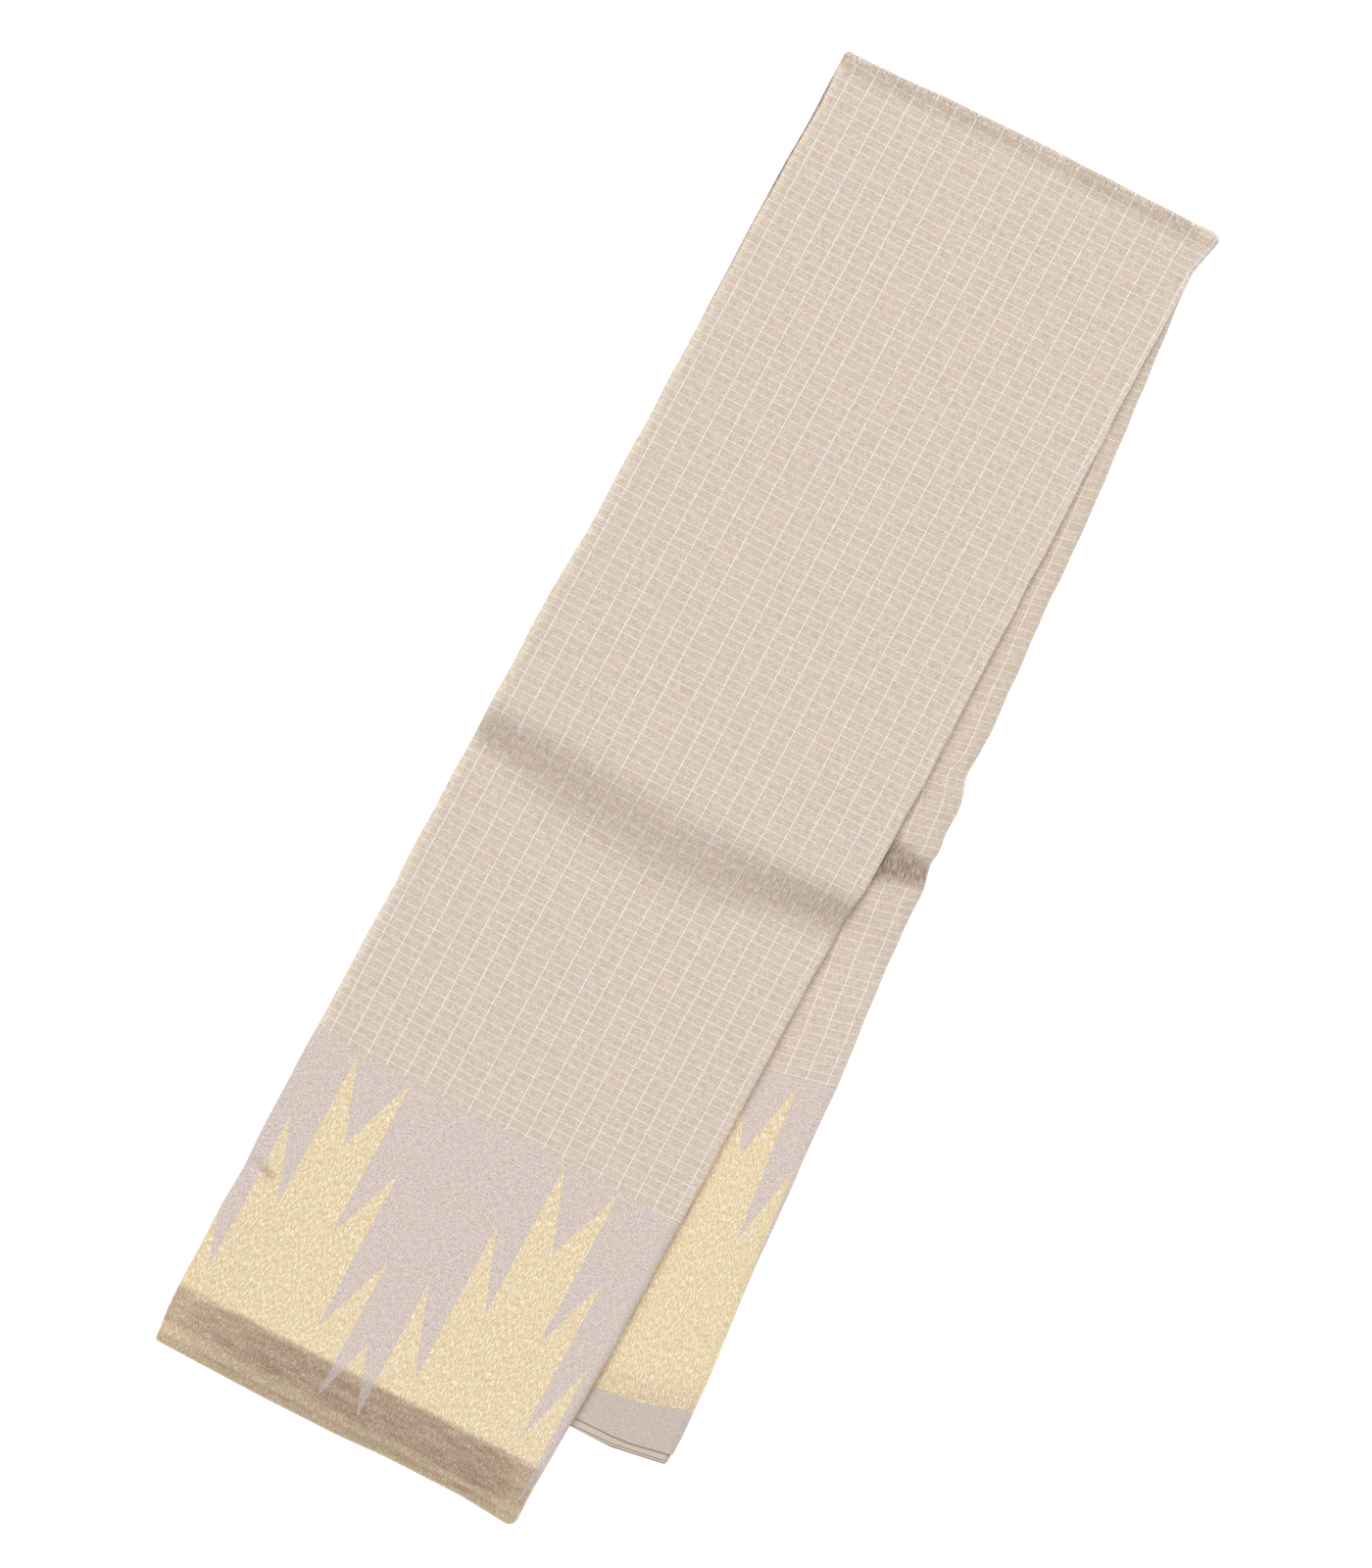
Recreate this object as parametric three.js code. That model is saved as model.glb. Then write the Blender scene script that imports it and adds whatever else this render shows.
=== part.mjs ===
// A silk saree, folded into a long strip and folded over once at the top.
// The front half lies on the back half, which peeps out beside it.
// Millimetres, +Z up, the floor at Z = 0.
//
// Every point is placed in the strip's own terms first:
//   across  to the right of the strip's centre line,
//   along   down the strip from its top edge,
//   lift    away from the fold's axis, through the folded layers to the outer cloth.
// The front half has its outer cloth on top, the back half has it on the floor.

import * as THREE from "three";

// Driving sizes
const WALL = 1.0;
const SEAM = 0.3;
const AXIS_HEIGHT = 8.3;
const OUTER_LIFT = AXIS_HEIGHT;
const INNER_LIFT = SEAM / 2;
const MIDDLE_LIFT = (OUTER_LIFT + INNER_LIFT) / 2;
const FULL_DROP = AXIS_HEIGHT + INNER_LIFT;

// The folded side edges, seen in a cut across the strip
const LIP_RADIUS = 2.0;
const RIGHT_REACH = 3.6;
const INNER_CLOTH_INSET = 1.0;
const FACE_COLUMNS = 7;

// The fold at the top of the strip
const FOLD_REACH = 5.2;
const FOLD_SQUARENESS = 2 / 3;
const FOLD_TIGHTNESS = 0.45;
const EAR_REACH = 2.6;
const FOLD_STEPS = 8;
const TROUGH = { from_edge: 6.6, spread: 2.6, depth: 0.9 };

// The creases across the strip, left by an earlier fold
const FRONT_CREASE = { along: 314, spread: 4.6, depth: 1.3, sway: 1.2, sway_length: 31 };
const BACK_CREASE = { along: 284, spread: 4.2, depth: 0.9 };

// Where the stretches of cloth meet
const FRONT_BORDER_ALONG = 454.4;
const TURNED_UNDER_ALONG = 574;
const BACK_LEAN = 0.075;

// The way down from the back half to the floor, at the front half's end
const TOP_DROP = { along: 569, lean: -0.02, length: 21.5, rounding: 0.12 };
const BOTTOM_DROP_LENGTH = 15.5;
const SAG = { past_edge: 12, width: 33 };
const NOSE_REACH = MIDDLE_LIFT - INNER_LIFT;
const NOSE_STEPS = 6;

const FRONT_EDGES = [
  { along: 4, left: -84.8, right: 82.6 },
  { along: 20, left: -84.2, right: 82.8 },
  { along: 60, left: -85.4, right: 82.4 },
  { along: 92, left: -86.6, right: 82.7 },
  { along: 140, left: -85.2, right: 83.8 },
  { along: 224, left: -85.2, right: 84.4 },
  { along: 248, left: -86.8, right: 84.8 },
  { along: 300, left: -86.8, right: 84.2 },
  { along: 314, left: -86.8, right: 82.4 },
  { along: 344, left: -87.6, right: 82.0 },
  { along: 400, left: -86.8, right: 82.0 },
  { along: 488, left: -88.0, right: 82.0 },
  { along: 516, left: -86.4, right: 82.0 },
  { along: 560, left: -87.0, right: 80.8 },
  { along: 584, left: -86.0, right: 80.0 },
  { along: 597, left: -84.6, right: 80.4 },
];

const BACK_RIGHT_EDGE = [
  { along: 4, right: 82.6 },
  { along: 20, right: 83.0 },
  { along: 44, right: 85.0 },
  { along: 80, right: 88.8 },
  { along: 128, right: 93.2 },
  { along: 164, right: 94.8 },
  { along: 200, right: 97.2 },
  { along: 248, right: 101.4 },
  { along: 278, right: 103.4 },
  { along: 296, right: 105.2 },
  { along: 344, right: 108.4 },
  { along: 368, right: 111.2 },
  { along: 416, right: 114.2 },
  { along: 464, right: 117.4 },
  { along: 512, right: 122.4 },
  { along: 536, right: 123.6 },
];

const TOP_EDGE = [
  { across: -85, along: 0.9 },
  { across: -60, along: 0.0 },
  { across: -40, along: -1.3 },
  { across: -20, along: -2.2 },
  { across: 0, along: -2.9 },
  { across: 40, along: -3.6 },
  { across: 83, along: -4.0 },
];

const FRONT_END = [
  { across: -85, along: 597.6 },
  { across: -36, along: 597.6 },
  { across: 0, along: 596.8 },
  { across: 20, along: 595.4 },
  { across: 56, along: 594.8 },
  { across: 78, along: 596.2 },
];

const BACK_BORDER_LINE = [
  { across: -50, along: 393.0 },
  { across: 82, along: 383.2 },
  { across: 110.4, along: 376.0 },
  { across: 124, along: 371.0 },
];

const BACK_SELVEDGE_LINE = [
  { across: -50, along: 539.5 },
  { across: 82, along: 530.0 },
  { across: 104, along: 526.4 },
  { across: 120, along: 520.0 },
];

const BACK_END_LINE = [
  { across: -50, along: 554.3 },
  { across: 82, along: 544.4 },
  { across: 104, along: 543.6 },
  { across: 124, along: 539.0 },
];

// The hidden layers' edge: how far each level stands out on the left and at the back half's end
const LAYER_LEVELS = [
  { lift: 1.45, left: 0.9, end: 2.2 },
  { lift: 1.8, left: 1.8, end: 3.0 },
  { lift: 2.3, left: 1.0, end: 2.2 },
  { lift: 2.75, left: 2.1, end: 4.2 },
  { lift: 3.2, left: 1.2, end: 3.0 },
  { lift: 3.6, left: 1.8, end: 3.6 },
  { lift: 4.0, left: 0.7, end: 1.4 },
  { lift: 5.5, left: 0.0, end: 2.2 },
  { lift: 7.0, left: 0.0, end: 0.8 },
];
const LAYERS_TOP = LAYER_LEVELS.at(-1).lift;

const FINISHES = {
  field: { color: 0xd8cabc, roughness: 0.6, metalness: 0.0 },
  gold: { color: 0xe8d2a0, roughness: 0.45, metalness: 0.35 },
  plain: { color: 0xd3c8c0, roughness: 0.55, metalness: 0.0 },
  layers: { color: 0xcdbfb0, roughness: 0.7, metalness: 0.0 },
};

const clamp01 = (value) => Math.min(1, Math.max(0, value));
const smooth = (value) => clamp01(value) ** 2 * (3 - 2 * clamp01(value));
const mix = (from, to, share) => from + (to - from) * share;

// The value of a table's column between its rows, found by the key column
function lookUp(table, key, at, column) {
  const next = table.findIndex((row) => row[key] > at);
  if (next === 0) return table[0][column];
  if (next < 0) return table.at(-1)[column];
  const before = table[next - 1];
  const after = table[next];
  const share = (at - before[key]) / (after[key] - before[key]);
  return mix(before[column], after[column], share);
}

const topEdge = (across) => lookUp(TOP_EDGE, "across", across, "along");
const foldLine = (across) => topEdge(across) + FOLD_REACH;
const noseLine = (across) => lookUp(FRONT_END, "across", across, "along") - NOSE_REACH;
const backBorderLine = (across) => lookUp(BACK_BORDER_LINE, "across", across, "along");
const backSelvedgeLine = (across) => lookUp(BACK_SELVEDGE_LINE, "across", across, "along");
const backEndLine = (across) => lookUp(BACK_END_LINE, "across", across, "along");

// The lines across each half that its stretches meet at, from the fold to its end
const FRONT_LINES = [foldLine, () => FRONT_BORDER_ALONG, () => TURNED_UNDER_ALONG, noseLine];
const BACK_LINES = [foldLine, backBorderLine, backSelvedgeLine, backEndLine];

// A cross line through a place on the centre line, evenly between the lines on each side of it
function crossLine(lines, middle) {
  const after = lines.findIndex((line, n) => n > 0 && line(0) >= middle - 1e-6);
  const [from, to] = [lines[after - 1], lines[after]];
  const share = (middle - from(0)) / (to(0) - from(0));
  return (across) => mix(from(across), to(across), share);
}

const frontLeft = (along) => lookUp(FRONT_EDGES, "along", along, "left");
const frontRight = (along) => lookUp(FRONT_EDGES, "along", along, "right");
const backLeft = (along) => FRONT_EDGES[0].left + BACK_LEAN * along;
const backRight = (along) => lookUp(BACK_RIGHT_EDGE, "along", along, "right");

// How far the front half's upper face sinks below its level height
function frontHollow(across, along) {
  const fromEdge = along - topEdge(across);
  const trough = TROUGH.depth * Math.exp(-(((fromEdge - TROUGH.from_edge) / TROUGH.spread) ** 2));
  const sway = FRONT_CREASE.sway * Math.sin(across / FRONT_CREASE.sway_length);
  const fromCrease = (along - FRONT_CREASE.along - sway) / FRONT_CREASE.spread;
  return trough + FRONT_CREASE.depth * Math.exp(-(fromCrease ** 2));
}

function backHollow(along) {
  return BACK_CREASE.depth * Math.exp(-(((along - BACK_CREASE.along) / BACK_CREASE.spread) ** 2));
}

// The front half sags past the back half's left edge and steps down past its end
function sag(across, along) {
  return smooth((backLeft(along) - across - SAG.past_edge) / SAG.width);
}

function bottomDrop(across, along) {
  const past = smooth((along - backEndLine(across) - WALL) / BOTTOM_DROP_LENGTH);
  return FULL_DROP * (1 - (1 - past) * (1 - sag(across, along)));
}

// 0 up to 0, then rising evenly at a slope of 1, with a rounded start
function roundedRamp(value) {
  const curved = Math.min(Math.max(value, 0), TOP_DROP.rounding) ** 2 / (2 * TOP_DROP.rounding);
  return curved + Math.max(value - TOP_DROP.rounding, 0);
}

function topDrop(across, along) {
  const share = (along - TOP_DROP.along - TOP_DROP.lean * across) / TOP_DROP.length;
  const past = roundedRamp(share) - roundedRamp(share - 1);
  return FULL_DROP * (1 - (1 - past) * (1 - sag(across, along)));
}

// The share of the outer cloth's own movement that a level between the two faces takes
const outerShare = (lift) => clamp01((lift - INNER_LIFT - WALL) / (LAYERS_TOP - INNER_LIFT - WALL));

function onFront(across, along, lift) {
  const share = outerShare(lift);
  const drop = mix(bottomDrop(across, along), topDrop(across, along), share);
  const height = AXIS_HEIGHT + lift - drop - share * frontHollow(across, along);
  return new THREE.Vector3(across, -along, height);
}

function onBack(across, along, lift) {
  const height = AXIS_HEIGHT - lift - (1 - outerShare(lift)) * backHollow(along);
  return new THREE.Vector3(across, -along, height);
}

// The turn at the top: angle 0 is the front half's start, PI the back half's
function onFold(across, angle, lift) {
  const reach = Math.max(lift * FOLD_TIGHTNESS, lift - (OUTER_LIFT - FOLD_REACH));
  const up = Math.sign(Math.cos(angle)) * Math.abs(Math.cos(angle)) ** FOLD_SQUARENESS;
  const out = Math.sin(angle) ** FOLD_SQUARENESS;
  const along = foldLine(across) - reach * out;
  const hollow = outerShare(lift) * frontHollow(across, along) * Math.max(0, up);
  const ear = EAR_REACH * smooth((across - frontRight(0) + 4 * RIGHT_REACH) / (4 * RIGHT_REACH)) * out;
  return new THREE.Vector3(across + ear, -along, AXIS_HEIGHT + lift * up - hollow);
}

// The turn at the front half's end, about the middle of the folded layers, from angle 0 to PI
function onNose(across, angle, lift) {
  const half = lift - MIDDLE_LIFT;
  const along = noseLine(across) + half * Math.sin(angle);
  const height = AXIS_HEIGHT + MIDDLE_LIFT + half * Math.cos(angle) - FULL_DROP;
  return new THREE.Vector3(across, -along, height);
}

// The closed skin of a curved block: place(i, j, k) gives the point at step i, column j, level k.
// Each of its four-sided faces is split along its higher diagonal, so that nested skins bend alike.
function blockGeometry(steps, columns, levels, place) {
  const points = [];
  const numbers = new Map();
  const faces = [];
  const number = (i, j, k) => {
    const key = `${i},${j},${k}`;
    if (!numbers.has(key)) {
      numbers.set(key, points.length / 3);
      points.push(...place(i, j, k).toArray());
    }
    return numbers.get(key);
  };
  const height = (n) => points[3 * n + 2];
  const quad = (a, b, c, d) => {
    const higher = height(b) + height(d) > height(a) + height(c) + 1e-6;
    faces.push(...(higher ? [a, b, d, b, c, d] : [a, b, c, a, c, d]));
  };
  const [lastI, lastJ, lastK] = [steps - 1, columns - 1, levels - 1];
  for (let i = 0; i < lastI; i++) {
    for (let j = 0; j < lastJ; j++) {
      quad(number(i, j, 0), number(i, j + 1, 0), number(i + 1, j + 1, 0), number(i + 1, j, 0));
      quad(number(i, j, lastK), number(i + 1, j, lastK), number(i + 1, j + 1, lastK), number(i, j + 1, lastK));
    }
    for (let k = 0; k < lastK; k++) {
      quad(number(i, 0, k), number(i + 1, 0, k), number(i + 1, 0, k + 1), number(i, 0, k + 1));
      quad(number(i, lastJ, k), number(i, lastJ, k + 1), number(i + 1, lastJ, k + 1), number(i + 1, lastJ, k));
    }
  }
  for (let j = 0; j < lastJ; j++) {
    for (let k = 0; k < lastK; k++) {
      quad(number(0, j, k), number(0, j, k + 1), number(0, j + 1, k + 1), number(0, j + 1, k));
      quad(number(lastI, j, k), number(lastI, j + 1, k), number(lastI, j + 1, k + 1), number(lastI, j, k + 1));
    }
  }
  const geometry = new THREE.BufferGeometry();
  geometry.setAttribute("position", new THREE.Float32BufferAttribute(points, 3));
  geometry.setIndex(faces);
  return outward(geometry);
}

// Turns the faces over where the block was laid out inside out
function outward(geometry) {
  const at = geometry.getAttribute("position");
  const index = geometry.getIndex().array;
  const corner = (n) => new THREE.Vector3().fromBufferAttribute(at, index[n]);
  let volume = 0;
  for (let n = 0; n < index.length; n += 3) {
    volume += corner(n).dot(corner(n + 1).cross(corner(n + 2)));
  }
  if (volume < 0) {
    for (let n = 0; n < index.length; n += 3) {
      [index[n], index[n + 1]] = [index[n + 1], index[n]];
    }
  }
  geometry.computeVertexNormals();
  return geometry;
}

function arc(centre, radii, fromDegrees, toDegrees, count) {
  return Array.from({ length: count }, (_, n) => {
    const angle = THREE.MathUtils.degToRad(mix(fromDegrees, toDegrees, n / (count - 1)));
    return { across: centre.across + radii.across * Math.cos(angle), lift: centre.lift + radii.lift * Math.sin(angle) };
  });
}

// The columns of a face, between the left lip and the right turn
function faceColumns(left, right) {
  const [from, to] = [left + LIP_RADIUS, right - RIGHT_REACH];
  return Array.from({ length: FACE_COLUMNS }, (_, n) => mix(from, to, (n + 1) / (FACE_COLUMNS + 1)));
}

// The outer cloth's upper run in a cut across the strip: the left lip, the face, the right turn
function upperRun(left, right, level, rightEndDegrees, rightCount) {
  const inset = level * WALL;
  const lip = { across: left + LIP_RADIUS, lift: OUTER_LIFT - LIP_RADIUS };
  const turn = { across: right - RIGHT_REACH, lift: MIDDLE_LIFT };
  const lipRadii = { across: LIP_RADIUS - inset, lift: LIP_RADIUS - inset };
  const turnRadii = { across: RIGHT_REACH - inset, lift: OUTER_LIFT - MIDDLE_LIFT - inset };
  return [
    ...arc(lip, lipRadii, 225, 90, 4),
    ...faceColumns(left, right).map((across) => ({ across, lift: OUTER_LIFT - inset })),
    ...arc(turn, turnRadii, 90, rightEndDegrees, rightCount),
  ];
}

// The whole run, which goes on below the layers as the inner cloth
function wholeRun(left, right, level) {
  const lift = INNER_LIFT + level * WALL;
  const leftward = [...faceColumns(left, right).reverse(), left + INNER_CLOTH_INSET];
  return [...upperRun(left, right, level, -90, 6), ...leftward.map((across) => ({ across, lift }))];
}

// Places along the centre line from one line to another, closer together where the cloth bends
function stations(from, to, step, closeRuns) {
  const list = [from];
  while (list.at(-1) < to - 1e-6) {
    const here = list.at(-1);
    const run = closeRuns.find((close) => here >= close.from - 1e-6 && here < close.to - 1e-6);
    const ahead = closeRuns.filter((close) => close.from > here + 1e-6).map((close) => close.from);
    const next = run ? Math.min(here + run.step, run.to) : Math.min(here + step, ...ahead);
    list.push(next > to - 1 ? to : next);
  }
  return list;
}

// The same stations serve the cloth and the layers inside it, so that both bend alike
function stationsThrough(lines, step, closeRuns) {
  const middles = lines.map((line) => line(0));
  return middles.slice(1).map((to, n) => stations(middles[n], to, step, closeRuns));
}

const FRONT_STATIONS = stationsThrough(FRONT_LINES, 26, [
  { from: foldLine(0), to: 16, step: 3 },
  { from: 302, to: 326, step: 4 },
  { from: 540, to: 593, step: 4 },
]);
const BACK_STATIONS = stationsThrough(BACK_LINES, 26, [
  { from: foldLine(0), to: 24, step: 10 },
  { from: 276, to: 292, step: 4 },
]);

const frontSides = (middle) => ({ left: frontLeft(middle), right: frontRight(middle) });
const backSides = (middle) => ({
  left: backLeft(middle),
  right: backRight(middle - BACK_LEAN * backRight(middle)),
});

// One stretch of a half's cloth, with half a seam's gap at each end
function stretchOfCloth(lines, places, sides, onHalf) {
  const runs = places.map((middle) =>
    [0, 1].map((level) => wholeRun(sides(middle).left, sides(middle).right, level)));
  return blockGeometry(places.length, runs[0][0].length, 2, (i, j, k) => {
    const { across, lift } = runs[i][k][j];
    const gap = i === 0 ? SEAM / 2 : i === places.length - 1 ? -SEAM / 2 : 0;
    return onHalf(across, crossLine(lines, places[i])(across) + gap, lift);
  });
}

const frontStretch = (number) =>
  stretchOfCloth(FRONT_LINES, FRONT_STATIONS[number], frontSides, onFront);
const backStretch = (number) => stretchOfCloth(BACK_LINES, BACK_STATIONS[number], backSides, onBack);

function topFold() {
  const runs = [0, 1].map((level) => wholeRun(frontLeft(0), frontRight(0), level));
  return blockGeometry(FOLD_STEPS + 1, runs[0].length, 2, (i, j, k) => {
    const { across, lift } = runs[k][j];
    return onFold(across, (Math.PI * i) / FOLD_STEPS, lift);
  });
}

// The border's end: over the step down, round the nose and back under on the floor
function turnedEnd() {
  const leg = FRONT_STATIONS[2];
  const run = (middle, level) => upperRun(frontLeft(middle), frontRight(middle), level, 6, 4);
  const lastLeg = leg.length - 1;
  const steps = leg.length + NOSE_STEPS + lastLeg;
  return blockGeometry(steps, run(leg[0], 0).length, 2, (i, j, k) => {
    const onLeg = i < leg.length;
    const underneath = i > lastLeg + NOSE_STEPS;
    const middle = onLeg ? leg[i] : underneath ? leg[2 * lastLeg + NOSE_STEPS - i] : leg[lastLeg];
    const { across, lift } = run(middle, k)[j];
    const gap = middle === leg[0] ? SEAM / 2 : 0;
    const along = crossLine(FRONT_LINES, middle)(across) + gap;
    if (onLeg) {
      return onFront(across, along, lift);
    }
    const angle = underneath ? Math.PI : (Math.PI * (i - lastLeg)) / NOSE_STEPS;
    const point = onNose(across, angle, lift);
    return underneath ? point.setY(-along) : point;
  });
}

// One row of the hidden layers' columns at one level, with the given share of their uneven edge
function layerRow({ left, right }, level, unevenness = 1) {
  const lift = LAYER_LEVELS[level].lift;
  const standsOut = LAYER_LEVELS[level].left * unevenness;
  const round = Math.sqrt(Math.max(0, 1 - ((lift - MIDDLE_LIFT) / (LAYERS_TOP - MIDDLE_LIFT)) ** 2));
  const start = left + LIP_RADIUS + SEAM - standsOut;
  const end = right - RIGHT_REACH + (RIGHT_REACH - WALL - SEAM) * round;
  return [start, ...faceColumns(left, right), end];
}

// The front half's hidden layers, round the fold and down to the nose, as one solid
function frontLayers() {
  const places = [...new Set(FRONT_STATIONS.flat())];
  const noseAngles = [30, 55, 75].map(THREE.MathUtils.degToRad);
  const steps = FOLD_STEPS + places.length + noseAngles.length;
  return blockGeometry(steps, FACE_COLUMNS + 2, LAYER_LEVELS.length, (i, j, k) => {
    const { lift } = LAYER_LEVELS[k];
    if (i < FOLD_STEPS) {
      const drawnIn = Math.min(layerRow(frontSides(0), k)[j], frontRight(0) - RIGHT_REACH / 2);
      return onFold(drawnIn, Math.PI * (1 - i / FOLD_STEPS), lift);
    }
    const place = i - FOLD_STEPS;
    const middle = places[Math.min(place, places.length - 1)];
    const unevenness = 1 - smooth((middle - TURNED_UNDER_ALONG) / WALL + 3);
    const across = layerRow(frontSides(middle), k, unevenness)[j];
    if (place < places.length) {
      return onFront(across, crossLine(FRONT_LINES, middle)(across), lift);
    }
    const angle = noseAngles[place - places.length];
    const reach = (NOSE_REACH - WALL - SEAM) * Math.sin(angle);
    const flattened = MIDDLE_LIFT + (lift - MIDDLE_LIFT) * Math.cos(angle);
    const drawnIn = Math.min(across, frontRight(middle) - RIGHT_REACH);
    return onFront(drawnIn, noseLine(across) + reach, flattened);
  });
}

// The back half's hidden layers, whose ends show at its end
function backLayers() {
  const places = [...new Set(BACK_STATIONS.flat())];
  return blockGeometry(places.length, FACE_COLUMNS + 2, LAYER_LEVELS.length, (i, j, k) => {
    const { lift, end } = LAYER_LEVELS[k];
    const across = layerRow(backSides(places[i]), k)[j];
    const shift = i === 0 ? SEAM : i === places.length - 1 ? end : 0;
    return onBack(across, crossLine(BACK_LINES, places[i])(across) + shift, lift);
  });
}

function piece(name, geometry, finish) {
  const mesh = new THREE.Mesh(geometry, new THREE.MeshStandardMaterial(FINISHES[finish]));
  mesh.name = name;
  return mesh;
}

const strip = new THREE.Group();
strip.add(
  piece("front_field", frontStretch(0), "field"),
  piece("front_border", frontStretch(1), "gold"),
  piece("front_turned_end", turnedEnd(), "gold"),
  piece("front_layers", frontLayers(), "layers"),
  piece("top_fold", topFold(), "field"),
  piece("back_field", backStretch(0), "field"),
  piece("back_border", backStretch(1), "gold"),
  piece("back_selvedge", backStretch(2), "plain"),
  piece("back_layers", backLayers(), "layers"),
);

// The origin is at the middle of the part's underside
const box = new THREE.Box3().setFromObject(strip);
const centre = box.getCenter(new THREE.Vector3());
strip.position.set(-centre.x, -centre.y, -box.min.z);

const group = new THREE.Group();
group.add(strip);
group.updateMatrixWorld(true);

export default group;
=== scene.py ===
"""A silk saree, folded into a long strip and folded over once at the top, lying flat.

The strip's own terms, in millimetres:
  across  to the right of the strip's centre line,
  along   down the strip from its top edge,
  lift    away from the fold's axis, through the folded layers to the outer cloth.
The front half has its outer cloth on top, the back half has it on the floor.
"""

import math

import bpy
import numpy as np
from mathutils import Matrix, Vector


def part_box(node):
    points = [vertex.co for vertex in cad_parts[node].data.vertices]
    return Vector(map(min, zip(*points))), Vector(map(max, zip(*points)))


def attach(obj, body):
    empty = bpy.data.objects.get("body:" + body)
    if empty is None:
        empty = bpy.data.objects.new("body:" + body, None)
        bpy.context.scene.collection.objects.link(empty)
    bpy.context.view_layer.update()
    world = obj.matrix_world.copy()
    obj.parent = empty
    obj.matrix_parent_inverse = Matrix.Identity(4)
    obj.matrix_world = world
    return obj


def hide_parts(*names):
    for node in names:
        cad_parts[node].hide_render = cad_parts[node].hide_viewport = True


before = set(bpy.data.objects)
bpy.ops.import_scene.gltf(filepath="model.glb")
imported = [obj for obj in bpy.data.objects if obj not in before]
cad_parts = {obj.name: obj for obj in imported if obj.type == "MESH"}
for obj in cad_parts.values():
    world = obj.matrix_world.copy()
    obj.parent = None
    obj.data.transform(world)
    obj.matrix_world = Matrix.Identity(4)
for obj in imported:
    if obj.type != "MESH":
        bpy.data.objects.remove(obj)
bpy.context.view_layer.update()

MM = 0.001

# The strip's sizes, as in the solids
SEAM = 0.3
AXIS_HEIGHT = 8.3
OUTER_LIFT = AXIS_HEIGHT
INNER_LIFT = SEAM / 2
MIDDLE_LIFT = (OUTER_LIFT + INNER_LIFT) / 2
FULL_DROP = AXIS_HEIGHT + INNER_LIFT
WALL = 1.0
CLOTH = 0.45
LIP_RADIUS = 2.0
RIGHT_REACH = 3.6
INNER_CLOTH_INSET = 1.0
FOLD_REACH = 5.2
FOLD_SQUARENESS = 2 / 3
FOLD_TIGHTNESS = 0.45
EAR_REACH = 3.8
EAR_RISE = 0.9
EAR_START = 3.4
EAR_LENGTH = 15.0
EAR_WIDTH = 4 * RIGHT_REACH
BACK_LEAN = 0.075
BACK_HOLLOW = 0.08
FRONT_BORDER_ALONG = 454.4
TURNED_UNDER_ALONG = 574.0
TOP_DROP_ALONG = 570.2
TOP_DROP_LEAN = -0.02
TOP_DROP_LENGTH = 23.6
TOP_DROP_ROUNDING = 0.12
BOTTOM_DROP_LENGTH = 15.5
SAG = (3.0, 45.0)
NOSE_REACH = MIDDLE_LIFT - INNER_LIFT
LAYERS_TOP = 7.0
HOLLOW_FADE = (584.0, 8.0)

# The outline: rows of (along, left, right) for the front half and (along, right) for the back half
FRONT_EDGES = np.array([
    (4, -84.8, 82.6), (20, -84.2, 82.8), (60, -85.2, 82.4), (92, -85.2, 82.7), (140, -85, 83.8),
    (224, -85.2, 84.4), (248, -86.7, 84.8), (300, -86.6, 84.2), (314, -86.6, 82.4), (344, -86.8, 82),
    (400, -86.5, 82), (488, -87, 82), (516, -86.3, 82), (560, -87, 80.8), (584, -86, 80),
    (597, -84.6, 80.4),
])
BACK_RIGHT_EDGE = np.array([
    (4, 82.8), (20, 83.4), (44, 85.8), (80, 89.4), (128, 93.4), (164, 95.2), (200, 97.6), (218, 99.2),
    (237, 98.3), (247, 101.8), (254, 102.4), (264, 102.4), (272, 103.5), (277, 102.4), (283, 103.8),
    (289, 105.2), (298, 105), (320, 106.4), (344, 108.4), (368, 111), (416, 114.2), (464, 117.4),
    (512, 122.2), (536, 123.6),
])

# Lines across the halves: rows of (across, along)
TOP_EDGE = np.array([
    (-85, 0.9), (-60, 0), (-40, -1.3), (-20, -2.2), (0, -2.9), (40, -3.6), (83, -4),
])
FRONT_END = np.array([(-85, 597.6), (-36, 597.6), (0, 596.8), (20, 595.4), (56, 594.8), (78, 596.2)])
BACK_BORDER_LINE = np.array([(-50, 393), (82, 383.2), (110.4, 376), (124, 371)])
BACK_SELVEDGE_LINE = np.array([(-50, 539.5), (82, 530), (104, 526.4), (120, 520)])
BACK_END_LINE = np.array([(-50, 554.3), (82, 544.4), (104, 543.6), (124, 539)])

# The strip's origin in the frame, from two solids' edges
STRIP_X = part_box("top_fold")[0][0] - FRONT_EDGES[0][1] * MM
STRIP_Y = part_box("front_turned_end")[0][1] + FRONT_END[0][1] * MM


def smooth(value):
    value = np.clip(value, 0, 1)
    return value * value * (3 - 2 * value)


def ease(value, start, length, size=1):
    """A soft step from 0 at the start to its size, a length further on: (start, length, size) below."""
    return size * smooth((value - start) / length)


def bell(value, spread=1):
    return np.exp(-((value / spread) ** 2))


def read(table, at, column=1, blur=5):
    """A table's column at a place, with its corners rounded over the blur's length."""
    at = np.asarray(at, float)
    shifts = np.linspace(-blur, blur, 5)
    weights = np.array((1, 2, 3, 2, 1)) / 9
    return sum(w * np.interp(at + s, table[:, 0], table[:, column]) for w, s in zip(weights, shifts))


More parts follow.
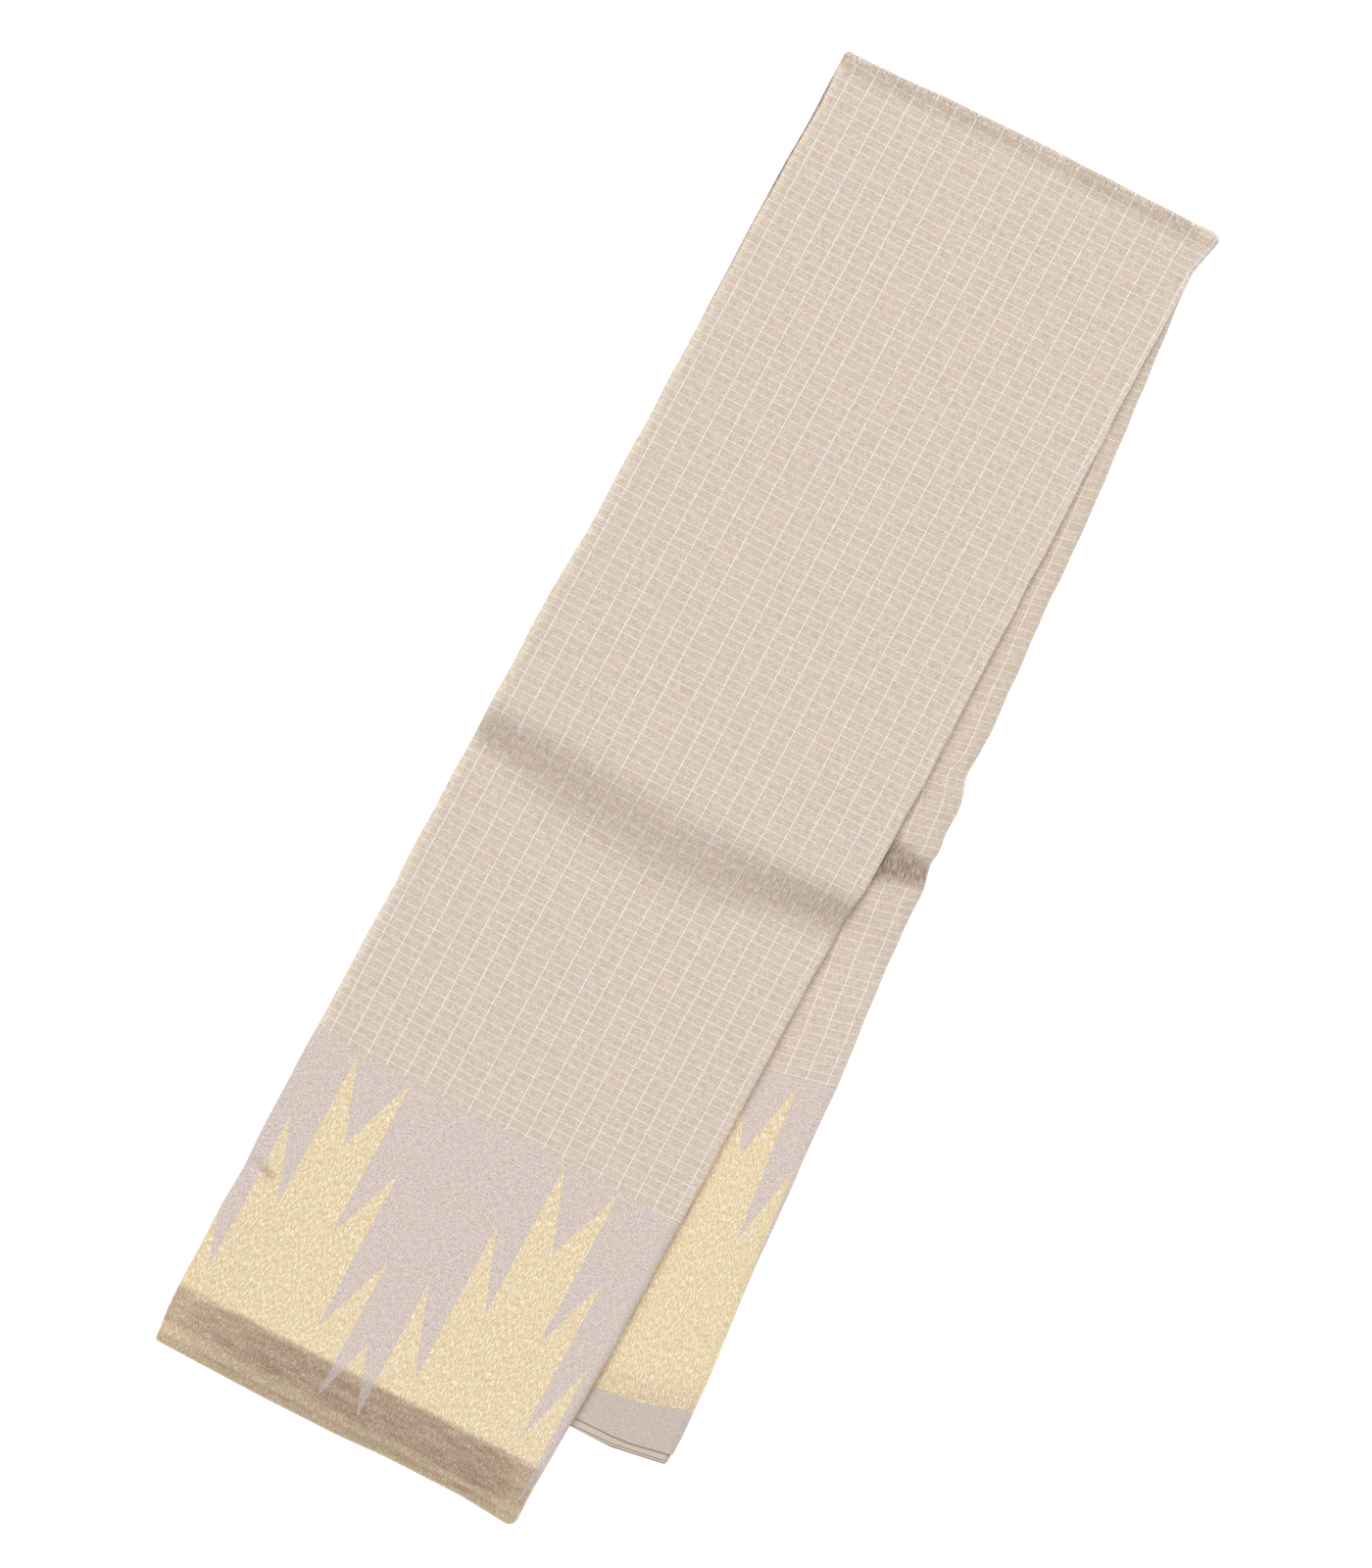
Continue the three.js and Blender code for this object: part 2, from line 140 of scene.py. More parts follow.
# What is softly uneven: (size, seed, length of the waves)
UNEVEN = {
    "front left": (0.25, 3, 26), "front right": (0.2, 4, 22), "back right": (0.25, 5, 24),
    "front face": (0.12, 11, 60), "front ripple": (0.04, 12, 14),
    "back face": (0.08, 21, 40), "back ripple": (0.03, 22, 12), "fold": (0.05, 31, 34),
    "fold shade": (0.15, 51, 30), "leaf side": (0.35, 60, 70), "leaf lift": (0.04, 80, 90),
    "leaf end": (0.35, 100, 60),
}


def uneven(name, x, y=0, number=0):
    size, seed, length = UNEVEN[name]
    return size * waves(x, y, seed + number, length)


def waves(x, y, seed, length, turns=7):
    """A soft unevenness from -1 to 1, of waves about as long as the length."""
    draw = np.random.default_rng(seed)
    total = np.zeros(np.broadcast(x, y).shape)
    for _ in range(turns):
        angle, phase = draw.uniform(0, 2 * math.pi, 2)
        step = 2 * math.pi / (length * draw.uniform(0.7, 1.6))
        total += np.sin(step * (np.cos(angle) * x + np.sin(angle) * y) + phase)
    return total / turns * 1.6


def top_edge(across):
    return read(TOP_EDGE, across)


def fold_line(across):
    return top_edge(across) + FOLD_REACH


def front_left(along):
    return read(FRONT_EDGES, along, 1) + uneven("front left", along)


def front_right(along):
    return read(FRONT_EDGES, along, 2) + uneven("front right", along)


def front_sides(along):
    return float(front_left(along)), float(front_right(along))


def back_left(along):
    return FRONT_EDGES[0][1] + BACK_LEAN * along


def back_right(along):
    return read(BACK_RIGHT_EDGE, along, blur=2.5) + uneven("back right", along)


def nose_line(across):
    return read(FRONT_END, across) - NOSE_REACH


FRONT_LINES = [
    fold_line, lambda across: FRONT_BORDER_ALONG + 0 * across,
    lambda across: TURNED_UNDER_ALONG + 0 * across, nose_line,
]
BACK_LINES = [fold_line] + [
    lambda across, table=table: read(table, across, blur=8)
    for table in (BACK_BORDER_LINE, BACK_SELVEDGE_LINE, BACK_END_LINE)
]


def cross_line(lines, middle, across):
    """Where the cross line through a place on the centre line lies."""
    middle = middle + 0 * across
    middles = np.array([float(line(0)) for line in lines])
    values = np.stack([line(across) for line in lines])
    after = np.clip(np.searchsorted(middles, middle, side="right"), 1, len(lines) - 1)
    share = (middle - middles[after - 1]) / (middles[after] - middles[after - 1])
    before, beyond = (np.take_along_axis(values, number[None], 0)[0] for number in (after - 1, after))
    return before * (1 - share) + beyond * share


# The front half's check leans and is shifted: rows of (along, shift right on the right side, shift down)
CHECK_LEAN = 3.2
CHECK_LEAN_LENGTH = 384.0
CHECK_ASIDE = (-50, 50)
CHECK_SHIFT = np.array([
    (16, 0.5, -0.28), (48, 0.36, 0), (80, 0.2, 0.28), (112, 0.08, 0.44), (144, -0.06, 0.72),
    (208, -0.08, 0.48), (240, 0.32, 0.16), (272, 0.78, -0.72), (300, 0.85, -1.2), (336, 0.1, 0.88),
    (360, 0.1, 0.68), (384, 0.15, 0.4), (416, 0.1, 0.38), (440, 0.15, 0.08),
])

# Its lines bend too: rows of (across, bend down above the crease, bend down below it)
BEND_CHANGE = (300.0, 36.0)
CROSS_BEND = np.array([
    (-80, 0.45, -0.45), (-48, 0.44, 0), (-24, 0.37, 0.45), (0, -0.08, 0.28), (24, -0.64, -0.2),
    (48, -1.16, -0.8), (72, -1.72, -1.64), (90, -2.2, -2.3),
])

# The back half's check is shifted: rows of (along, shift right, shift down)
BACK_CHECK_SHIFT = np.array([
    (150, 0.2, -0.8), (218, 0.2, -0.6), (230, 1.1, -0.7), (240, 1.9, -0.9), (248, -1.7, -0.6),
    (256, -0.9, -0.6), (272, 0.7, -0.6), (300, 0.2, 0.6), (312, 1.1, 0.6), (324, 1.6, 0.6), (340, 2.2, 0.9),
    (352, 2.4, 1.1), (366, 2.8, 1.4), (380, 2.5, 1.5),
])

# The motif on the back half is shifted, narrowed about a middle, and leans from a line
BACK_MOTIF_SHIFT = (14.4, 1.8)
BACK_MOTIF_NARROWING = (0.13, 26.9)
BACK_MOTIF_LEAN = (0.05, 405.0)

# The woven spikes aren't quite even: rows of (across, shift)
MOTIF_SHIFT = np.array([
    (-79, -0.7), (-67, -0.9), (-42, -1.1), (-29, -1.5), (-16, -1.9), (-8, 0.3), (3, 0.8), (16, 0.1),
    (29, -0.3), (54, -0.5), (65, 0.5), (77, 2.3), (84, 5),
])


def check_place(lengths, across, along):
    """The front half's cloth coordinates on the check."""
    lean = CHECK_LEAN * np.clip(1 - along / CHECK_LEAN_LENGTH, 0, 1)
    aside = ease(across, *CHECK_ASIDE) * read(CHECK_SHIFT, along, 1, 8.0)
    below = ease(along, *BEND_CHANGE)
    bend = read(CROSS_BEND, across) * (1 - below) + read(CROSS_BEND, across, 2) * below
    down = bend + read(CHECK_SHIFT, along, 2, 8.0)
    return np.stack([lengths - lean - aside, along - down - FRONT_BORDER_ALONG], -1) * MM


def border_place(lengths, along):
    """The front half's cloth coordinates on the border."""
    return np.stack([lengths + read(MOTIF_SHIFT, lengths, blur=2.5), along - FRONT_BORDER_ALONG], -1) * MM


def back_place(lengths, middle, across, along):
    """The back half's cloth coordinates, from its edge and past the border."""
    past_border = along - read(BACK_BORDER_LINE, across, blur=8.0)
    motif = smooth(past_border / 2)
    aside, down = (read(BACK_CHECK_SHIFT, middle, column)[:, None] for column in (1, 2))
    motif_aside, motif_down = BACK_MOTIF_SHIFT
    for (share, zero), value in ((BACK_MOTIF_NARROWING, lengths), (BACK_MOTIF_LEAN, along)):
        motif_aside = motif_aside + share * (value - zero)
    aside = aside * (1 - motif) + motif_aside * motif
    down = down * (1 - motif) + motif_down * motif
    return np.stack([lengths + aside, past_border - down], -1) * MM


# The hollow beside the fold at the top
TROUGH_PLACE = 6.6
TROUGH_SPREAD = 3.4
TROUGH_DEPTH = 0.05

# Painted shade beside the fold, less at the corner and more in the turn
FOLD_SHADE = (-12.0, 9.0, 0.8)
FOLD_SHADE_EVEN = 0.9
FOLD_SHADE_CORNER = 0.7
TURN_SHADE = (0.0, 0.5, 1.1)

# Painted light on the front half's edges, with a painted shadow line at the left: rows of (along, strength)
LEFT_PAINTED_SHADOW = np.array([(12, 0), (18, 2.9), (24, 3.2), (66, 3), (74, 1), (118, 0.8), (126, 0)])
LEFT_SHADOW_SIDE = (-1.1, 0.5)
LEFT_PAINTED_LIGHT = (-3.8, 2.4, 0.42)
RIGHT_PAINTED_LIGHT = (-RIGHT_REACH, 2, 0.4)

# The pressed crease across the front half, with painted shade: rows of (across, along, strength, spread
# above, spread below)
CREASE = np.array([
    (-84, 314.6, 1.00, 8.4, 6), (-60, 315.2, 0.84, 10.4, 11.6), (-40, 316.8, 0.74, 12, 15.6),
    (0, 320, 0.66, 13.5, 17.5), (20, 320.4, 0.7, 13, 16), (40, 318, 0.84, 10.5, 13),
    (60, 314.8, 1.04, 9, 11), (84, 314, 1.14, 9, 9),
])
CREASE_DEPTH = 0.7
CREASE_SHADE = 0.93
CREASE_SQUARENESS = 2.5

# The crease across the back half, which narrows to the right, with painted shade
BACK_CREASE = {
    "across": 88.4, "along": 284.9, "lean": -0.18, "sway": 0.5, "sway_length": 5, "spread": 8.6,
    "narrowing": 0.24, "spreads": (4.0, 12.0), "squareness": 3, "depth": 0.8, "shade": 1.9,
}

# Painted shade on the back half's field above a line; its border is darker towards the hem
BACK_FIELD_SHADE = (-326.0, 14.0, 0.12)
HEM_SHADE = (130.0, 22.0, 0.42)

# The band of painted shade at the front half's end: how it starts, and its changes from there, as (lean,
# step)
BAND_START = (-0.8, 3.6)
BAND_CHANGES = ((0.0, 10.0, 3.0, 0.15), (0.02, 16.0, 4.0, -0.6))
BAND_SAG_LOSS = 0.12
BAND_RIGHT_LOSS = (66.0, 8.0, 0.35)
NOSE_PAINTED_LIGHT = 0.3

# A short pressed line at the border's left edge, a hollow with painted shade
BORDER_WRINKLE = {"across": -78.0, "along": 515.6, "lean": 0.2, "spread": 2.2, "depth": 0.5, "shade": 0.8}
BORDER_WRINKLE_END = (68.0, 10.0)

# Narrow wrinkles in the crease: (along from its middle, spread, depth, wave length, wave height, seed)
WRINKLES = (
    (-3.6, 1.5, 0.096, 74, 0.9, 29), (1.4, 1.3, 0.120, 31, 0.7, 44), (5.4, 1.9, 0.072, 43, 1.1, 56),
)
WRINKLE_LENGTH = 38

# Soft pressed lines down the strip: (across, spread, height, from along, to along)
PRESSED_LINES = (
    (61.5, 0.9, -0.14, 520, 580), (70.3, 0.7, -0.12, 536, 596), (-31.0, 2.4, 0.10, 330, 480),
    (28.0, 3.0, -0.10, 60, 300), (-66.0, 2.6, 0.12, 120, 300),
)
PRESSED_FADE = 40
PRESSED_SWAY = 0.8
PRESSED_SWAY_LENGTH = 60


def past_crease(across, along):
    """The distance past the crease's middle, and its share of the spread on that side."""
    past = along - read(CREASE, across, 1, 12.0)
    spread = np.where(past < 0, read(CREASE, across, 3, 12.0), read(CREASE, across, 4, 12.0))
    return past, past / spread


def front_hollow(across, along):
    """How far the front half's upper face lies below its level."""
    hollow = TROUGH_DEPTH * bell(along - top_edge(across) - TROUGH_PLACE, TROUGH_SPREAD)
    past, share = past_crease(across, along)
    hollow += CREASE_DEPTH * read(CREASE, across, 2, 12.0) * bell(share)
    for offset, spread, depth, length, height, seed in WRINKLES:
        wave = offset + height * np.sin(across / length * 2 * math.pi + offset)
        strength = depth * (1 + waves(across, 0, seed, WRINKLE_LENGTH))
        hollow += strength * bell(past - wave, spread)
    for place, spread, height, start, stop in PRESSED_LINES:
        sway = PRESSED_SWAY * np.sin(along / PRESSED_SWAY_LENGTH + place)
        ends = ease(along, start, PRESSED_FADE) * ease(-along, -stop, PRESSED_FADE)
        hollow -= height * ends * bell(across - place - sway, spread)
    hollow += BORDER_WRINKLE["depth"] * border_wrinkle(across, along)
    return hollow + uneven("front face", across, along * 0.45) + uneven("front ripple", across, along)


def past_line(line, across, along):
    """The distances past a leaning line, and aside of its own place."""
    aside = across - line["across"]
    return along - line["along"] - line["lean"] * aside, aside


def border_wrinkle(across, along):
    """The short pressed line at the border's left edge, from 0 to 1."""
    past = past_line(BORDER_WRINKLE, across, along)[0]
    return ease(-across, *BORDER_WRINKLE_END) * bell(past, BORDER_WRINKLE["spread"])


def crease_painted_shade(across, along):
    """How strongly the crease's painted shade shows, which also fades the threads in it."""
    share = past_crease(across, along)[1]
    return CREASE_SHADE * read(CREASE, across, 2, 12.0) * np.exp(-np.abs(share) ** CREASE_SQUARENESS)


def fold_painted_shade(across, along):
    """How strongly the painted shade beside the fold shows."""
    from_edge = along - top_edge(across)
    strength = (FOLD_SHADE_EVEN + uneven("fold shade", across)) * (1 - FOLD_SHADE_CORNER * ear(across))
    return strength * ease(-from_edge, *FOLD_SHADE)


def edge_painted_light_and_shade(across, along):
    """How much painted shade the front half's side edges carry, or painted light below 0."""
    from_left = across - front_left(along)
    line = read(LEFT_PAINTED_SHADOW, along) * ease(-from_left, *LEFT_SHADOW_SIDE)
    return line - ease(-from_left, *LEFT_PAINTED_LIGHT) - ease(across - front_right(along), *RIGHT_PAINTED_LIGHT)


def band_painted_shade(across, along):
    """How strongly the painted shade on the band at the front half's end shows."""
    past = along - TOP_DROP_ALONG - TOP_DROP_LEAN * across
    shade_change = 1
    for lean, *change in BAND_CHANGES:
        shade_change = shade_change + ease(past - lean * across, *change)
    strength = ease(past, *BAND_START) * (1 - BAND_SAG_LOSS * sag(across, along))
    return strength * shade_change * (1 - ease(across, *BAND_RIGHT_LOSS))


def back_crease(across, along):
    """The crease across the back half, from 0 to 1."""
    past, aside = past_line(BACK_CREASE, across, along)
    past = past - BACK_CREASE["sway"] * np.sin(across / BACK_CREASE["sway_length"])
    spread = np.clip(BACK_CREASE["spread"] - BACK_CREASE["narrowing"] * aside, *BACK_CREASE["spreads"])
    return np.exp(-np.abs(past / spread) ** BACK_CREASE["squareness"])


def back_shade(number, along, past_border):
    """How strongly a stretch of the back half is darkened apart from its crease: painted shade on the
    field, darker towards the hem on the border.
    """
    if number == 0:
        return ease(-along, *BACK_FIELD_SHADE)
    return ease(past_border, *HEM_SHADE) if number == 1 else 0 * along


def back_hollow(across, along):
    hollow = BACK_CREASE["depth"] * back_crease(across, along)
    hollow += BACK_HOLLOW + uneven("back face", across, along * 0.6) + uneven("back ripple", across, along)
    return np.maximum(hollow, 0)


def sag(across, along):
    return ease(back_left(along) - across, *SAG)


def bottom_drop(across, along):
    end = read(BACK_END_LINE, across, blur=8.0)
    past = ease(along - end, WALL, BOTTOM_DROP_LENGTH)
    return FULL_DROP * (1 - (1 - past) * (1 - sag(across, along)))


def rounded_ramp(value):
    """0 up to 0, then rising evenly at a slope of 1, with a rounded start."""
    curved = np.clip(value, 0, TOP_DROP_ROUNDING) ** 2 / (2 * TOP_DROP_ROUNDING)
    return curved + np.maximum(value - TOP_DROP_ROUNDING, 0)


def top_drop(across, along):
    share = (along - TOP_DROP_ALONG - TOP_DROP_LEAN * across) / TOP_DROP_LENGTH
    past = rounded_ramp(share) - rounded_ramp(share - 1)
    return FULL_DROP * (1 - (1 - past) * (1 - sag(across, along)))


def outer_share(lift):
    """The share of the outer cloth's movement that a level below it takes."""
    return np.clip((lift - INNER_LIFT - WALL) / (LAYERS_TOP - INNER_LIFT - WALL), 0, 1)


def in_frame(across, along, height):
    across, along, height = np.broadcast_arrays(across, along, height)
    return np.stack([STRIP_X + across * MM, STRIP_Y - along * MM, np.maximum(height, 0) * MM], -1)


def ear(across):
    """Where the corner at the top right is drawn out, from 0 to 1."""
    return ease(across, FRONT_EDGES[0][2] - EAR_WIDTH, EAR_WIDTH)


def ear_share(across, along):
    """The share of its reach that the ear keeps down the front half."""
    return 1 - np.clip((along - top_edge(across) - EAR_START) / EAR_LENGTH, 0, 1)


def on_front(across, along, lift):
    share = outer_share(lift)
    drop = bottom_drop(across, along) * (1 - share) + top_drop(across, along) * share
    fade = 1 - ease(along, *HOLLOW_FADE)
    height = AXIS_HEIGHT + lift - drop - share * fade * front_hollow(across, along)
    return in_frame(across + EAR_REACH * ear(across) * ear_share(across, along), along, height)


def on_back(across, along, lift):
    hollow = (1 - outer_share(lift)) * back_hollow(across, along)
    return in_frame(across, along, AXIS_HEIGHT - lift - hollow)


def on_fold(across, angle, lift):
    """The turn at the top: angle 0 is the front half's start, pi the back half's."""
    reach = np.maximum(lift * FOLD_TIGHTNESS, lift - (OUTER_LIFT - FOLD_REACH))
    up = np.sign(np.cos(angle)) * np.abs(np.cos(angle)) ** FOLD_SQUARENESS
    out = np.abs(np.sin(angle)) ** FOLD_SQUARENESS
    bulge = 1 + uneven("fold", across) * out
    along = fold_line(across) - reach * out * bulge
    hollow = outer_share(lift) * front_hollow(across, along) * np.maximum(0, up)
    low = (1 - outer_share(lift)) * back_hollow(across, along) * np.maximum(0, -up)
    kept = np.where(up > 0, out + (1 - out) * ear_share(across, fold_line(across)), out)
    along = along - EAR_RISE * ear(across) ** 2 * out
    return in_frame(across + EAR_REACH * ear(across) * kept, along, AXIS_HEIGHT + lift * up - hollow - low)


def on_nose(across, angle, lift):
    """The turn at the front half's end, about the middle of the folded layers."""
    half = lift - MIDDLE_LIFT
    along = nose_line(across) + half * np.sin(angle)
    return in_frame(across, along, AXIS_HEIGHT + MIDDLE_LIFT + half * np.cos(angle) - FULL_DROP)


LIP_POINTS = 9
TURN_POINTS = 19
LIP_END = 3.0


def arc(centre, radii, from_degrees, to_degrees, count):
    angle = np.radians(np.linspace(from_degrees, to_degrees, count))
    return np.stack([centre[0] + radii[0] * np.cos(angle), centre[1] + radii[1] * np.sin(angle)], -1)


def upper_run(left, right, inset, face_columns, right_end=-90.0):
    """The outer cloth in a cut across the strip, as (across, lift): lip, face and right turn."""
    lip = (left + LIP_RADIUS, OUTER_LIFT - LIP_RADIUS)
    turn = (right - RIGHT_REACH, MIDDLE_LIFT)
    face = np.linspace(lip[0], turn[0], face_columns + 2)[1:-1]
    return np.concatenate([
        arc(lip, (LIP_RADIUS - inset, LIP_RADIUS - inset), 225, 90, LIP_POINTS),
        np.stack([face, np.full_like(face, OUTER_LIFT - inset)], -1),
        arc(turn, (RIGHT_REACH - inset, OUTER_LIFT - MIDDLE_LIFT - inset), 90, right_end, TURN_POINTS),
    ])


def whole_run(left, right, inset, face_columns, inner_steps):
    """The upper run, and the inner cloth below the layers at these distances from the turn."""
    inner = np.append(right - RIGHT_REACH - inner_steps, left + INNER_CLOTH_INSET)
    lift = np.full_like(inner, INNER_LIFT + inset)
    return np.concatenate([upper_run(left, right, inset, face_columns), np.stack([inner, lift], -1)])


def run_lengths(run):
    """Each point's distance along a run, on the face the distance from the centre line."""
    steps = np.linalg.norm(np.diff(run, axis=0), axis=1)
    length = np.append(0, np.cumsum(steps))
    return length + run[LIP_POINTS, 0] - length[LIP_POINTS]


def outward(points, inside):
    """Unit vectors out of a surface, away from the one inside it."""
    out = np.cross(np.gradient(points, axis=0), np.gradient(points, axis=1))
    out /= np.maximum(np.linalg.norm(out, axis=-1, keepdims=True), 1e-12)
    return out * np.sign(np.sum(out * (points - inside)))


def closed_sheet(outer, inner, uv, marks):
    """A thin closed shell between two surfaces. Their first and last rows only steer the shading."""
    directions = outward(outer, inner)[1:-1].reshape(-1, 3)
    outer, inner, uv, marks = (values[1:-1] for values in (outer, inner, uv, marks))
    marks = marks.reshape(-1, 2)
    rows, columns = outer.shape[:2]
    count = rows * columns
    number = np.arange(count).reshape(rows, columns)
    grid = np.stack([number[:-1, :-1], number[1:, :-1], number[1:, 1:], number[:-1, 1:]], -1).reshape(-1, 4)
    rim = np.concatenate([number[0, :-1], number[:-1, -1], number[-1, :0:-1], number[:0:-1, 0]])
    after = np.roll(rim, -1)
    rims = np.stack([rim + count, after + count, after, rim], -1)
    points = np.concatenate([outer.reshape(-1, 3), inner.reshape(-1, 3)])
    first = grid[len(grid) // 2]
    facing = np.cross(points[first[1]] - points[first[0]], points[first[2]] - points[first[0]])
    if np.dot(facing, directions[first[0]]) < 0:
        grid, rims = grid[:, ::-1], rims[:, ::-1]
    faces = np.concatenate([grid, grid[:, ::-1] + count, rims])
    shading = np.concatenate([directions, -directions])[faces]
    shading[len(faces) - len(rims):] = 0
    return {
        "points": points,
        "faces": faces,
        "uv": np.tile(uv.reshape(-1, 2), (2, 1)),
        "pressed": np.tile(marks[:, 0], 2),
        "shade": np.tile(marks[:, 1], 2),
        "shading": shading.reshape(-1, 3),
        "rounded": np.arange(len(faces)) < len(faces) - len(rims),
    }


def add_object(name, data):
    item = bpy.data.objects.new(name, data)
    bpy.context.collection.objects.link(item)
    return item


def add_piece(node, slot, shells, flat, rests_on, area=None):
    """One piece from closed shells, standing for its solid; the flat size is not used."""
    starts = np.cumsum([0] + [len(shell["points"]) for shell in shells[:-1]])
    faces = np.concatenate([shell["faces"] + start for shell, start in zip(shells, starts)])
    joined = {key: np.concatenate([shell[key] for shell in shells]) for key in shells[0] if key != "faces"}
    mesh = bpy.data.meshes.new(node + "_cloth")
    mesh.from_pydata(joined["points"].tolist(), [], faces.tolist())
    mesh.polygons.foreach_set("use_smooth", joined["rounded"])
    layer = mesh.uv_layers.new(name="Cloth")
    layer.data.foreach_set("uv", joined["uv"][faces.reshape(-1)].astype(np.float32).reshape(-1))
    for mark in ("pressed", "shade"):
        values = mesh.attributes.new(mark, "FLOAT", "POINT").data
        values.foreach_set("value", joined[mark].astype(np.float32))
    mesh.normals_split_custom_set(joined["shading"].tolist())
    mesh.materials.append(MATERIALS[slot])
    piece = add_object(mesh.name, mesh)
    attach(piece, "root")
    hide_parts(node)


# The cloth's noises: (length across, length along, seed, its detail where it isn't the usual one)
NOISE_DETAIL = 2.0
NOISE = {
    "weave down": (0.7, 2.8, 1), "weave over": (2.8, 0.7, 2), "weave speck": (0.75, 0.75, 3),
    "dark patch": (2.2, 5.0, 4, 3.0), "pink patch": (3.0, 4.0, 13), "thread wander": (9.0, 6.0, 5),
    "thread breaks": (2.0, 1.1, 6), "cross wander": (14.0, 3.0, 7), "cross breaks": (1.4, 3.0, 8),
    "flecks": (0.9, 1.8, 9), "streaks": (0.6, 3.4, 10), "check down": (0.5, 2.2, 11),
    "check over": (2.2, 0.5, 12), "edge across": (0.6, 0.9, 20, 1.0), "edge along": (0.5, 0.9, 21, 1.0),
    "rib bend": (3.0, 2.0, 22), "gold cells": (0.7, 0.9, 23), "gold bright": (0.7, 2.2, 24, 1.0),
    "gold deep": (0.7, 2.2, 25, 1.0), "gold green": (1.0, 3.2, 28), "band streaks long": (16.0, 3.2, 32, 3.0),
    "band streaks short": (7.0, 0.8, 33), "band streaks speck": (0.6, 0.6, 34), "gold down": (0.5, 1.6, 26),
    "gold over": (1.6, 0.5, 27), "plain down": (0.5, 1.6, 30), "plain over": (1.6, 0.5, 31),
    "layer colour": (0.35, 9.0, 40), "layer threads": (0.4, 6.0, 41),
}


def colour_sockets(sockets):
    return [socket for socket in sockets if socket.type == "RGBA"]


def settle(node, values):
    for name, value in values.items():
        node.inputs[name].default_value = value


class Graph:
    """A graph of nodes, with a method for each step."""

    def __init__(self, owner):
        owner.use_nodes = True
        self.nodes = owner.node_tree.nodes
        self.links = owner.node_tree.links

    def feed(self, socket, value):
        if isinstance(value, bpy.types.NodeSocket):
            self.links.new(value, socket)
        else:
            socket.default_value = value

    def math(self, operation, *values):
        node = self.nodes.new("ShaderNodeMath")
        node.operation = operation
        for socket, value in zip(node.inputs, values):
            self.feed(socket, value)
        return node.outputs[0]

    def minus(self, value, other):
        return self.math("SUBTRACT", value, other)

    def product(self, first, *others):
        for other in others:
            first = self.math("MULTIPLY", first, other)
        return first

    def added(self, total, value, share):
        """The total and this share of the value."""
        return self.math("MULTIPLY_ADD", value, share, total)

    def split(self, vector):
        node = self.nodes.new("ShaderNodeSeparateXYZ")
        self.links.new(vector, node.inputs[0])
        return node.outputs

    def ramp(self, value, low, high, to_low=0.0, to_high=1.0):
        node = self.nodes.new("ShaderNodeMapRange")
        node.interpolation_type = "SMOOTHSTEP"
        self.feed(node.inputs["Value"], value)
        settle(node, {"From Min": low, "From Max": high, "To Min": to_low, "To Max": to_high})
        return node.outputs["Result"]

    def mix(self, share, first, second, blend="MIX"):
        node = self.nodes.new("ShaderNodeMix")
        node.data_type = "RGBA"
        node.blend_type = blend
        self.feed(node.inputs["Factor"], share)
        for socket, value in zip(colour_sockets(node.inputs), (first, second)):
            self.feed(socket, value)
        return colour_sockets(node.outputs)[0]

    def point(self, *values):
        node = self.nodes.new("ShaderNodeCombineXYZ")
        for socket, value in zip(node.inputs, values):
            self.feed(socket, value)
        return node.outputs[0]


class Shader(Graph):
    """A cloth's material."""

    def __init__(self, name):
        self.material = bpy.data.materials.new(name)
        super().__init__(self.material)
        self.nodes.clear()
        self.surface = self.nodes.new("ShaderNodeBsdfPrincipled")
        output = self.nodes.new("ShaderNodeOutputMaterial")
        self.links.new(self.surface.outputs["BSDF"], output.inputs["Surface"])
        self.x, self.y = self.cloth()

    def times(self, colour, tone):
        return self.mix(1.0, colour, self.point(tone, tone, tone), "MULTIPLY")

    def noise(self, name):
        """Uneven values about 0.5."""
        across, along, seed, *detail = (*NOISE[name], NOISE_DETAIL)
        node = self.nodes.new("ShaderNodeTexNoise")
        settle(node, {"Scale": 1.0, "Detail": detail[0]})
        at = self.math("DIVIDE", self.x, across), self.math("DIVIDE", self.y, along)
        self.links.new(self.point(*at, 10.0 * seed), node.inputs["Vector"])
        return node.outputs["Fac"]

    def noises(self, shares):
        total = 0.0
        for name, share in shares.items():
            total = self.added(total, self.noise(name), share)
        return total

    def crossed(self, name):
        """Fine threads down the cloth and over it."""
        return self.math("ADD", self.noise(name + " down"), self.noise(name + " over"))

    def swayed(self, value, name, size):
        """The value moved to and fro by a noise, over the size in all."""
        return self.added(self.minus(value, size / 2), self.noise(name), size)

    def cloth(self):
        """The cloth's coordinates in millimetres: across it and past the border."""
        uv = self.nodes.new("ShaderNodeUVMap")
        uv.uv_map = "Cloth"
        return [self.product(part, 1 / MM) for part in self.split(uv.outputs[0])[:2]]

    def mark(self, name):
        node = self.nodes.new("ShaderNodeAttribute")
        node.attribute_name = name
        return node.outputs["Fac"]

    def repeat(self, value, spacing):
        """The distance to the nearest of evenly spaced lines."""
        share = self.math("FRACT", self.math("ADD", self.math("DIVIDE", value, spacing), 0.5))
        return self.product(self.math("ABSOLUTE", self.minus(share, 0.5)), spacing)

    def bump(self, height, distance, strength):
        node = self.nodes.new("ShaderNodeBump")
        settle(node, {"Strength": strength, "Distance": distance})
        self.links.new(height, node.inputs["Height"])
        self.links.new(node.outputs[0], self.surface.inputs["Normal"])

    def finish(self, colour, roughness, specular, sheen):
        self.links.new(colour, self.surface.inputs["Base Color"])
        settle(self.surface, {"Roughness": roughness, "Specular IOR Level": specular})
        settle(self.surface, {"Sheen Weight": sheen, "Sheen Roughness": SHEEN_ROUGHNESS})
        return self.material


